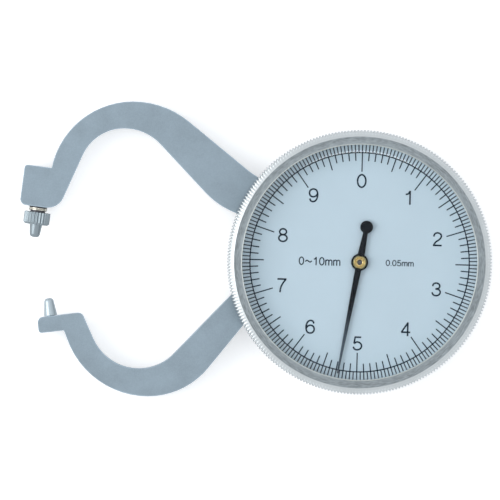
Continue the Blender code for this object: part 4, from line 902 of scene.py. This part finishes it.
SIX = ((57, 76), (49, 94), (32, 100), (13, 90), (2, 63), (1, 34), (10, 9), (31, 0), (52, 9),
       (60, 31), (52, 54), (33, 62), (13, 55), (1, 36))
GLYPHS: dict[str, tuple[int | Stroke, ...]] = {
    "0": (60, loop((30, 100), (8, 84), (0, 50), (8, 16), (30, 0), (52, 16), (60, 50), (52, 84))),
    "1": (60, curve((5, 76), (25, 82), (37, 104)), line((37, 105), (37, -5))),
    "2": (60, curve((2, 70), (10, 92), (31, 100), (52, 90), (57, 70), (44, 48), (18, 27), (2, 0)),
          line((-3, 0), (62, 0))),
    "3": (60, curve((3, 75), (11, 93), (30, 100), (49, 92), (55, 75), (47, 59), (24, 54)),
          curve((24, 54), (50, 47), (60, 28), (50, 7), (29, 0), (9, 7), (0, 26))),
    "4": (60, line((45, 105), (45, -5)), line((45, 100), (0, 26)), line((-2, 26), (64, 26))),
    "5": (60, line((56, 100), (8, 100)), line((12, 100), (5, 49)),
          curve((5, 49), (27, 62), (50, 53), (60, 31), (50, 8), (27, 0), (8, 7), (0, 24))),
    "6": (60, curve(*SIX)),
    "7": (60, line((-2, 100), (64, 100)), curve((59, 98), (38, 66), (24, 33), (19, -5))),
    "8": (60, loop((30, 54), (47, 60), (55, 77), (47, 94), (30, 100), (13, 94), (5, 77), (13, 60)),
          loop((30, 54), (51, 46), (60, 27), (51, 8), (30, 0), (9, 8), (0, 27), (9, 46))),
    "9": (60, curve(*((60 - x, 100 - y) for x, y in SIX))),
    "~": (85, curve((0, 40), (10, 54), (25, 58), (42, 47), (60, 36), (75, 40), (85, 54))),
    ".": (4, line((2, -5), (2, 7))),
    "m": (84, line((0, -5), (0, 72)),
          curve((0, 48), (8, 62), (21, 69), (35, 65), (42, 50), (42, 28), (42, -5)),
          curve((42, 48), (50, 62), (63, 69), (77, 65), (84, 50), (84, 28), (84, -5))),
}


@dataclass(frozen=True)
class Lettering:
    """A line of plain figures and letters, drawn with a pen of even width."""

    text: str
    place: tuple[float, float]
    height: float
    pen: float
    stretch: float = 1.0
    width: float | None = None
    spacing: float = 0.24
    curve_steps: int = 5

    def draw(self, thickness: float) -> Shape:
        """Draw the line, centred on the origin, as wide as its width or stretch says.

        Args:
            thickness: Thickness of the ink.

        Returns:
            The drawn line.
        """
        gaps = self.spacing * (len(self.text) - 1)
        natural = sum(GLYPHS[letter][0] for letter in self.text) / GLYPH_UNITS + gaps
        tall = self.height - self.pen
        wide = tall * self.stretch if self.width is None else (self.width - self.pen) / natural
        bm = bmesh.new()
        start = -natural / 2
        for letter in self.text:
            advance, *strokes = GLYPHS[letter]
            for stroke in strokes:
                path = [Vector(((start + point.x) * wide, (point.y - 0.5) * tall, 0.0))
                        for point in stroke.path(self.curve_steps)]
                self.ribbon(bm, path, stroke.closed, thickness)
            start += advance / GLYPH_UNITS + self.spacing
        return bm

    def ribbon(self, bm: Shape, path: list[Vector], closed: bool, thickness: float) -> None:
        """Sweep the pen along a path.

        Args:
            bm: Mesh that gets the ribbon.
            path: Centre line of the stroke.
            closed: Whether the last point joins the first.
            thickness: Thickness of the ink.
        """
        count = len(path)
        aside = []
        for index in range(count):
            before = path[index - 1] if closed or index else path[index]
            ahead = path[(index + 1) % count] if closed or index + 1 < count else path[index]
            run = (ahead - before).normalized()
            aside.append(Vector((-run.y, run.x, 0.0)) * self.pen / 2)
        near = [bm.verts.new(point) for point in path]
        ends = near[1:] + near[:1] if closed else near[1:]
        edges = [bm.edges.new(pair) for pair in zip(near, ends)]
        grown = bmesh.ops.extrude_edge_only(bm, edges=edges)["geom"]
        for vert in verts_of(grown):
            nearest = min(range(count), key=lambda index: (path[index] - vert.co).length)
            vert.co = path[nearest] + aside[nearest]
        for vert, point, offset in zip(near, path, aside):
            vert.co = point - offset
        faces = [item for item in grown if isinstance(item, bmesh.types.BMFace)]
        raised = bmesh.ops.extrude_face_region(bm, geom=faces, use_keep_orig=True)["geom"]
        bmesh.ops.translate(bm, verts=verts_of(raised), vec=(0.0, 0.0, thickness))


@dataclass
class Dial:
    """Dial plate with its printed graduation, numbers and plain units."""

    finishes: Finishes
    turn: float = -1.5
    divisions: int = 200
    unit_step: int = 20
    half_step: int = 10
    tenth_step: int = 2
    tick_width: float = 0.00026
    line_radius: float = 0.02415
    line_width: float = 0.00025
    outer_radius: float = 0.0258
    fine_radius: float = 0.0242
    tenth_radius: float = 0.02235
    half_radius: float = 0.0211
    unit_radius: float = 0.01995
    ink_height: float = 0.00002
    hole_radius: float = 0.0011
    numbers: int = 10
    number_radius: float = 0.0179
    number_height: float = 0.00315
    number_stretch: float = 1.09
    number_pen: float = 0.00037
    units: tuple[Lettering, ...] = (
        Lettering("0~10mm", (-0.00882, 0.0), height=0.0019, pen=0.00026, width=0.0092),
        Lettering("0.05mm", (0.00884, 0.00002), height=0.0014, pen=0.00021, width=0.0062))

    def build(self) -> list[Piece]:
        """Build the plate and its printing.

        Returns:
            The pieces of the dial.
        """
        low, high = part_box("dial_plate")
        radius, top = high[0], high[2]
        edge = self.ink_height * 2
        section = [(self.hole_radius, low[2], 0.0), (radius, low[2], 0.0),
                   (radius, top, edge), (self.hole_radius, top, edge)]
        plate = make_piece("dial_face", turn(section, FINE_SEGMENTS), [self.finishes.dial],
                           "bezel", "dial_plate")
        return [plate, self.graduation(top), self.print_lines("dial_numbers", self.figures(), top),
                self.print_lines("dial_units", self.units, top)]

    def inner_end(self, index: int) -> float:
        """Return the inner radius of a tick.

        Args:
            index: Number of the tick, clockwise from zero.

        Returns:
            Its inner radius.
        """
        for step, radius in ((self.unit_step, self.unit_radius), (self.half_step, self.half_radius),
                             (self.tenth_step, self.tenth_radius)):
            if index % step == 0:
                return radius
        return self.fine_radius

    def graduation(self, top: float) -> Piece:
        """Print the ticks and the circle that crosses them.

        Args:
            top: Height of the plate.

        Returns:
            The printed graduation.
        """
        inner, outer = self.line_radius - self.line_width / 2, self.line_radius + self.line_width / 2
        raised = top + self.ink_height
        bm = turn([(inner, top, 0.0), (outer, top, 0.0), (outer, raised, 0.0),
                   (inner, raised, 0.0)], FINE_SEGMENTS)
        side = self.tick_width / 2
        for index in range(self.divisions):
            inner = self.inner_end(index)
            turned = Matrix.Rotation(math.radians(self.turn - 360.0 * index / self.divisions), 2)
            corners = [(side, inner), (side, self.outer_radius), (-side, self.outer_radius),
                       (-side, inner)]
            prism(bm, [tuple(turned @ Vector(corner)) for corner in corners], top, raised)
        bmesh.ops.recalc_face_normals(bm, faces=bm.faces)
        return make_piece("dial_graduation", bm, [self.finishes.ink], "bezel")

    def figures(self) -> list[Lettering]:
        """Return the numbers round the dial.

        Returns:
            A line of lettering for each number.
        """
        made = []
        for number in range(self.numbers):
            angle = math.radians(90.0 - 360.0 * number / self.numbers)
            place = (self.number_radius * math.cos(angle), self.number_radius * math.sin(angle))
            made.append(Lettering(str(number), place, self.number_height, self.number_pen,
                                  stretch=self.number_stretch))
        return made

    def print_lines(self, name: str, lines: list[Lettering], top: float) -> Piece:
        """Print lines of lettering, turned with the dial.

        Args:
            name: Name of the piece.
            lines: The lines, with their places before the dial's turn.
            top: Height of the plate.

        Returns:
            The printed lines.
        """
        bm = bmesh.new()
        turned = Matrix.Rotation(math.radians(self.turn), 4, "Z")
        for lettering in lines:
            shape = lettering.draw(self.ink_height)
            outward(shape, turned @ Matrix.Translation((*lettering.place, top)))
            bm.from_mesh(to_mesh("printed_line", shape))
        return make_piece(name, bm, [self.finishes.ink], "bezel")


@dataclass
class Glazing:
    """Crystal with a thinned rim, and the spacer ring under it."""

    finishes: Finishes
    lip: float = 0.0004
    bevel_width: float = 0.0018
    bevel_drop: float = 0.00022
    bevel_fillet: float = 0.006
    rim_reach: float = 0.0003
    edge: float = 0.00006

    def build(self) -> list[Piece]:
        """Build the crystal and its spacer.

        Returns:
            Both pieces.
        """
        low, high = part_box("crystal")
        radius = high[0]
        flat = radius - self.bevel_width
        bm = turn([(0.0, low[2], 0.0), (radius, low[2], self.edge),
                   (radius, high[2] - self.bevel_drop, self.edge), (flat, high[2], self.bevel_fillet),
                   (0.0, high[2], 0.0)], FINE_SEGMENTS)
        for face in bm.faces:
            face.material_index = int(face.calc_center_median().xy.length > flat - self.rim_reach)
        crystal = make_piece("crystal_disc", bm, [self.finishes.crystal, self.finishes.crystal_rim],
                             "bezel", "crystal")
        low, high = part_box("crystal_spacer")
        inner = radius - self.lip
        bm = turn([(inner, low[2], self.edge), (radius, low[2], self.edge),
                   (radius, high[2], self.edge), (inner, high[2], self.edge)], FINE_SEGMENTS)
        spacer = make_piece("spacer_ring", bm, [self.finishes.spacer], "bezel",
                            "crystal_spacer")
        return [crystal, spacer]


@dataclass
class PointerSet:
    """Black pointer with its tail and counterweight, and the brass cap that holds it."""

    finishes: Finishes
    heading: float = 191.3
    length: float = 0.0249
    root_width: float = 0.00142
    end_width: float = 0.00036
    tail_length: float = 0.0079
    tail_root_width: float = 0.0016
    tail_end_width: float = 0.00092
    weight_radius: float = 0.00141
    hub_radius: float = 0.00188
    bore_radius: float = 0.0009
    edge: float = 0.00005
    edge_segments: int = 2
    cap_radius: float = 0.00148
    cap_bore: float = 0.00056
    flange_rise: float = 0.0003
    cap_shoulder: float = 0.0005
    cap_dimple: float = 0.0001
    cap_groove: float = 0.0001
    cap_groove_radius: float = 0.00098

    def build(self) -> list[Piece]:
        """Build the pointer and its cap.

        Returns:
            Both pieces.
        """
        low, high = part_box("pointer")
        bottom, top = low[2], high[2]
        bore, hub, weight = self.bore_radius, self.hub_radius, self.weight_radius
        bm = bmesh.new()
        for low_end, low_width, high_end, high_width in (
                (bore, self.root_width, self.length, self.end_width),
                (-self.tail_length, self.tail_end_width, -bore, self.tail_root_width)):
            prism(bm, [(-low_width / 2, low_end), (low_width / 2, low_end),
                       (high_width / 2, high_end), (-high_width / 2, high_end)],
                  bottom, top - self.edge)
        edges = [edge for edge in bm.edges
                 if all(vert.co.z > bottom + self.edge for vert in edge.verts)]
        bmesh.ops.bevel(bm, geom=edges, offset=self.edge, offset_type="OFFSET", affect="EDGES",
                        segments=self.edge_segments, profile=0.5, material=-1)
        self.add_round(bm, 0.0, [(bore, bottom, 0.0), (hub, bottom, 0.0), (hub, top, self.edge),
                                 (bore, top, self.edge)])
        self.add_round(bm, -self.tail_length, [(0.0, bottom, 0.0), (weight, bottom, 0.0),
                                               (weight, top, self.edge), (0.0, top, 0.0)])
        outward(bm, Matrix.Rotation(math.radians(-self.heading), 4, "Z"))
        pointer = make_piece("black_pointer", bm, [self.finishes.black], "pointer",
                             "pointer")
        return [pointer, self.cap()]

    def add_round(self, bm: Shape, along: float, corners: Corners) -> None:
        """Add a small round body to the pointer.

        Args:
            bm: Mesh of the pointer.
            along: Place of the body along the pointer.
            corners: Its section as (radius, height, fillet).
        """
        body = turn(corners, SMALL_SEGMENTS)
        bmesh.ops.translate(body, verts=body.verts, vec=(0.0, along, 0.0))
        bm.from_mesh(to_mesh("round_body", body))

    def cap(self) -> Piece:
        """Turn the domed brass cap.

        Returns:
            The cap.
        """
        low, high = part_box("pointer_cap")
        bottom, top = low[2], high[2]
        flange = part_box("pointer")[1][2] + self.flange_rise
        bore, rim = self.cap_bore, self.cap_radius
        groove, dimple = self.cap_groove_radius, self.cap_dimple
        section = [
            (bore, bottom, 0.0), (self.bore_radius - dimple, bottom, 0.0),
            (self.bore_radius - dimple, flange, 0.0), (rim, flange, self.edge),
            (rim, top - self.cap_shoulder, self.cap_shoulder / 2),
            (rim - self.cap_shoulder / 2, top - dimple, self.cap_shoulder / 3),
            (groove + self.cap_groove, top - dimple, 0.0),
            (groove, top - dimple - self.cap_groove, 0.0),
            (groove - self.cap_groove, top, 0.0), (bore + dimple * 2, top, dimple),
            (bore, top - dimple, 0.0)]
        return make_piece("brass_cap", turn(section, SMALL_SEGMENTS), [self.finishes.brass],
                          "pointer", "pointer_cap")


@dataclass
class UpperAnvil:
    """Adjustable anvil: bright threaded neck, fluted collar and round-ended tip."""

    finishes: Finishes
    frame: dict
    neck_radius: float = 0.00202
    neck_hidden: float = 0.0005
    neck_height: float = 0.00092
    neck_shade: float = 0.0002
    thread_pitch: float = 0.00038
    thread_depth: float = 0.00014
    crest_shares: tuple[float, float] = (0.3, 0.7)
    crest_fillet: float = 0.00004
    groove_radius: float = 0.00165
    groove_height: float = 0.00033
    collar_radius: float = 0.00287
    collar_height: float = 0.00275
    collar_bevel: float = 0.0004
    flutes: int = 24
    flute_columns: int = 8
    flute_depth: float = 0.00028
    tip_length: float = 0.0028
    tip_base_radius: float = 0.00137
    tip_end_radius: float = 0.00106
    tip_fillet: float = 0.0009
    shank_radius: float = 0.0012
    shank_length: float = 0.0045
    fillet: float = 0.00012

    def thread(self) -> Corners:
        """Work out the ridges of the neck's thread.

        Returns:
            Its section, from the bottom up.
        """
        crest = self.neck_radius
        root = crest - self.thread_depth
        turns = round((self.neck_height + self.neck_hidden) / self.thread_pitch)
        pitch = (self.neck_height + self.neck_hidden) / turns
        corners: Corners = []
        for index in range(turns):
            low = -self.neck_height + pitch * index
            crests = [(crest, low + pitch * share, self.crest_fillet) for share in self.crest_shares]
            corners += [(root, low + self.fillet / 4, 0.0), *crests, (root, low + pitch, 0.0)]
        return corners

    def build(self) -> list[Piece]:
        """Build the anvil on its joint's axis.

        Returns:
            The anvil.
        """
        joint = next(item for item in self.frame["joints"] if item["name"] == "anvil_spin")
        collar_top = -self.neck_height - self.groove_height
        collar_low = collar_top - self.collar_height
        collar_flat = self.collar_radius - self.collar_bevel
        tip_low = collar_low - self.tip_length
        shank_top = self.neck_hidden + self.shank_length
        bm = turn([
            (0.0, tip_low, 0.0), (self.tip_end_radius, tip_low, self.tip_fillet),
            (self.tip_base_radius, collar_low, 0.0), (self.groove_radius, collar_low, 0.0),
            (collar_flat, collar_low, self.fillet),
            (self.collar_radius, collar_low + self.collar_bevel, self.fillet),
            (self.collar_radius, collar_top, self.fillet),
            (self.groove_radius, collar_top, 0.0), (self.groove_radius, -self.neck_height, 0.0),
            *self.thread(), (self.shank_radius, self.neck_hidden, 0.0),
            (self.shank_radius, shank_top, self.fillet), (0.0, shank_top, 0.0)],
            self.flutes * self.flute_columns)
        Flutes(self.flutes, self.flute_depth, collar_low + self.fillet, collar_top, collar_flat,
               self.collar_radius - self.fillet).press(bm)
        # Painted shade: the groove and the band of the neck under the arm wear near-black steel.
        for face in bm.faces:
            centre = face.calc_center_median()
            on_neck = centre.z > -self.neck_height
            in_groove = not on_neck and centre.z > collar_top
            in_shade = in_groove or -self.neck_shade < centre.z < self.fillet
            face.material_index = 2 if in_shade else int(on_neck)
        outward(bm, axis_place(Vector(joint["pos_m"]), Vector(joint["axis"])))
        finishes = [self.finishes.anvil, self.finishes.neck, self.finishes.arbor]
        return [make_piece("fluted_anvil", bm, finishes, "anvil", "anvil_spindle")]


@dataclass
class LowerAnvil:
    """Plain cone-shaped anvil with a round end."""

    finishes: Finishes
    tilt: float = 6.7
    height: float = 0.00396
    base_radius: float = 0.00145
    base_fillet: float = 0.00004
    end_radius: float = 0.00097
    end_fillet: float = 0.0009
    shank_radius: float = 0.0009
    shank_length: float = 0.0022
    seat_gap: float = 0.0001

    def build(self) -> list[Piece]:
        """Build the anvil along the leaning middle line of its CAD node.

        Returns:
            The anvil.
        """
        angle = math.radians(self.tilt)
        direction = Vector((-math.sin(angle), math.cos(angle), 0.0))
        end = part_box("lower_anvil")[1][1] - self.end_radius * math.sin(angle) / 2
        middle = mid("lower_anvil")
        foot = middle + direction * ((end - middle.y) / direction.y - self.height)
        bm = turn([
            (0.0, -self.shank_length, 0.0), (self.shank_radius, -self.shank_length, 0.0),
            (self.shank_radius, self.seat_gap, 0.0),
            (self.base_radius, self.seat_gap, self.base_fillet),
            (self.end_radius, self.height, self.end_fillet), (0.0, self.height, 0.0)],
            SMALL_SEGMENTS)
        outward(bm, axis_place(foot, direction))
        return [make_piece("cone_anvil", bm, [self.finishes.pin], "jaw",
                           "lower_anvil")]


@dataclass
class BackScrews:
    """Round slotted screw heads in the back plate, and the slotted foot of the pivot pin."""

    finishes: Finishes
    head_height: float = 0.0007
    slot_width: float = 0.0003
    slot_depth: float = 0.0003
    screw_shank: float = 0.0006
    pin_shank: float = 0.0015
    fillet: float = 0.0001
    turn_step: float = 67.0
    pin: str = "pivot_pin"
    screws: list[str] = field(default_factory=lambda: [
        *(f"back_screw_{number}" for number in range(1, 5)), "arm_screw_1", "arm_screw_2",
        *(f"pillar_screw_{number}" for number in range(1, 4))])

    def build(self) -> list[Piece]:
        """Turn and slot every screw that shows on the back.

        Returns:
            The screws and the pin.
        """
        made = []
        for index, node in enumerate([*self.screws, self.pin]):
            low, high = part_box(node)
            base, top = low[2], high[2]
            head = (high[0] - low[0]) / 2
            shank = self.pin_shank if node == self.pin else self.screw_shank
            bm = turn([(0.0, base, 0.0), (head, base, self.fillet),
                       (head, base + self.head_height, 0.0),
                       (shank, base + self.head_height, 0.0), (shank, top, self.fillet),
                       (0.0, top, 0.0)], SMALL_SEGMENTS)
            bm = self.slotted(bm, base, head + self.slot_width, self.turn_step * index)
            centre = mid(node)
            outward(bm, Matrix.Translation((centre.x, centre.y, 0.0)))
            made.append(make_piece(f"{node}_turned", bm, [self.finishes.steel], "frame",
                                   node))
        return made

    def slotted(self, bm: Shape, low: float, reach: float, angle: float) -> Shape:
        """Cut a driver slot into the underside of a body that stands on the Z axis.

        Args:
            bm: The body, which is used up.
            low: Height of its underside.
            reach: Half the length of the cutter.
            angle: Turn of the slot, in degrees.

        Returns:
            The slotted body.
        """
        cutter = bmesh.new()
        half = self.slot_width / 2
        prism(cutter, [(-reach, -half), (reach, -half), (reach, half), (-reach, half)],
              low - self.slot_depth, low + self.slot_depth)
        outward(cutter, Matrix.Rotation(math.radians(angle), 4, "Z"))
        helpers = [add_object(name, to_mesh(name, shape))
                   for name, shape in (("slot_body", bm), ("slot_cutter", cutter))]
        cut = helpers[0].modifiers.new("slot", "BOOLEAN")
        cut.operation = "DIFFERENCE"
        cut.solver = "EXACT"
        cut.object = helpers[1]
        result = bmesh.new()
        result.from_object(helpers[0], bpy.context.evaluated_depsgraph_get())
        for helper in helpers:
            bpy.data.objects.remove(helper, do_unlink=True)
        return result


@dataclass
class Gauge:
    """The whole gauge, dressed."""

    frame: dict
    finishes: Finishes = field(default_factory=Finishes)
    arm_edge: float = 0.00028
    arm_bare_radius: float = 0.0245
    back_edge: float = 0.00015
    back_bare_radius: float = 0.02665
    case_edge: float = 0.0001
    case_bare_radius: float = 0.0262

    def dress_nodes(self) -> None:
        """Give every CAD node the finish of its record slot."""
        by_slot = self.finishes.by_slot()
        slots = {row["node"]: row["material_slot"] for row in self.frame["record"]["subparts"]}
        for name, node in self.frame["nodes"].items():
            node.data.materials.clear()
            node.data.materials.append(by_slot[Slot(slots[name])])
            LOG.info("%s wears %s", name, slots[name])
        # The centre arbor's end sits at the bottom of the cap's bore and wears near-black steel as
        # painted shade.
        self.frame["nodes"]["centre_arbor"].data.materials[0] = self.finishes.arbor

    def build(self) -> list[Piece]:
        """Build every piece.

        Returns:
            The new pieces.
        """
        self.dress_nodes()
        done = self.finishes
        arm = (done.satin, Slot.SATIN, self.arm_edge, self.arm_bare_radius)
        made = []
        for part in (
                SoftenedNode(self.frame, "fixed_arm", "frame", *arm),
                SoftenedNode(self.frame, "moving_arm", "jaw", *arm),
                SoftenedNode(self.frame, "back_plate", "frame", done.back, Slot.CASE,
                             self.back_edge, self.back_bare_radius),
                SoftenedNode(self.frame, "case_ring", "frame", done.case, Slot.CASE,
                             self.case_edge, self.case_bare_radius),
                Bezel(done), Dial(done), Glazing(done), PointerSet(done), LowerAnvil(done),
                BackScrews(done), UpperAnvil(done, self.frame)):
            made += part.build()
        return made


@dataclass(frozen=True)
class Lamp:
    """A soft oval lamp that shines on the gauge."""

    name: str
    place: Colour
    size: float
    power: float
    slimness: float = 1.0

    def hang(self) -> Piece:
        """Hang the lamp in its place.

        Returns:
            The lamp.
        """
        light = bpy.data.lights.new(self.name, "AREA")
        light.shape = "ELLIPSE"
        light.size = self.size
        light.size_y = self.size * self.slimness
        light.energy = self.power
        lamp = add_object(self.name, light)
        lamp.location = self.place
        lamp.rotation_euler = (-Vector(self.place)).to_track_quat("-Z", "Y").to_euler()
        return lamp


@dataclass
class Studio:
    """Plain pale floor, soft light and the camera."""

    floor_size: float = 1.2
    floor_gap: float = 0.00005
    floor_colour: Colour = (0.90, 0.90, 0.90)
    floor_roughness: float = 0.9
    floor_lift: float = 0.40
    sky_colour: Colour = (0.93, 0.96, 1.0)
    sky_level: float = 1.0
    lamps: tuple[Lamp, ...] = (
        Lamp("key_lamp", (-0.54, 0.05, 0.42), size=0.42, power=1.35, slimness=1.4),
        Lamp("glare_lamp", (0.014, 0.102, 0.80), size=0.11, power=0.12))
    aim: Colour = (-0.02418, 0.00273, 0.0180)
    lean: float = 0.4
    side_lean: float = 0.6
    distance: float = 4.0
    view_width: float = 0.1100
    sensor: float = 36.0

    def floor(self) -> None:
        """Lay the pale floor under the gauge."""
        bm = bmesh.new()
        bmesh.ops.create_grid(bm, x_segments=1, y_segments=1, size=self.floor_size / 2,
                              matrix=Matrix.Translation((0.0, 0.0, -self.floor_gap)))
        material, bench, shader = start_material("pale_floor")
        bench.fill(shader, {"Base Color": self.floor_colour, "Roughness": self.floor_roughness,
                            "Specular IOR Level": 0.0})
        seen = bench.add("ShaderNodeLightPath").outputs["Is Camera Ray"]
        lift = bench.math("MULTIPLY", seen, self.floor_lift)
        glow = bench.add("ShaderNodeEmission", {"Strength": lift})
        both = bench.add("ShaderNodeAddShader", {0: shader.outputs[0], 1: glow.outputs[0]})
        bench.surface(both.outputs[0])
        mesh = to_mesh("floor", bm)
        mesh.materials.append(material)
        add_object("floor", mesh)

    def sky(self) -> None:
        """Light the scene with a soft sky that the camera sees as white."""
        world = bpy.data.worlds.new("studio_sky")
        world.use_nodes = True
        bpy.context.scene.world = world
        bench = NodeBench(world.node_tree)
        soft = world.node_tree.nodes["Background"]
        bench.fill(soft, {"Color": self.sky_colour, "Strength": self.sky_level})
        plain = bench.add("ShaderNodeBackground", {"Color": WHITE, "Strength": 1.0})
        bench.by_ray("Is Camera Ray", soft.outputs[0], plain.outputs[0])

    def camera(self) -> None:
        """Set the camera above the dial, at the photograph's angle."""
        data = bpy.data.cameras.new("camera")
        data.sensor_width = self.sensor
        data.lens = self.sensor * self.distance / self.view_width
        data.clip_start = self.distance / 100
        data.clip_end = self.distance * 10
        camera = add_object("camera", data)
        back = Vector((-math.sin(math.radians(self.side_lean)),
                       math.sin(math.radians(self.lean)), 1.0)).normalized()
        right = Vector((0.0, 1.0, 0.0)).cross(back).normalized()
        camera.location = Vector(self.aim) + back * self.distance
        turned = Matrix((right, back.cross(right), back)).transposed()
        camera.rotation_euler = turned.to_euler()
        bpy.context.scene.camera = camera

    def build(self) -> None:
        """Set up the floor, light and camera."""
        self.floor()
        self.sky()
        for lamp in self.lamps:
            lamp.hang()
        self.camera()
        bpy.context.scene.view_settings.view_transform = "Standard"


def main() -> None:
    """Load the frame, dress the gauge and set up the studio."""
    logging.basicConfig(level=logging.INFO, format="%(name)s: %(message)s")
    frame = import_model()
    made = Gauge(frame).build()
    LOG.info("%d pieces made", len(made))
    Studio().build()
    bpy.context.view_layer.update()


if __name__ == "__main__":
    main()
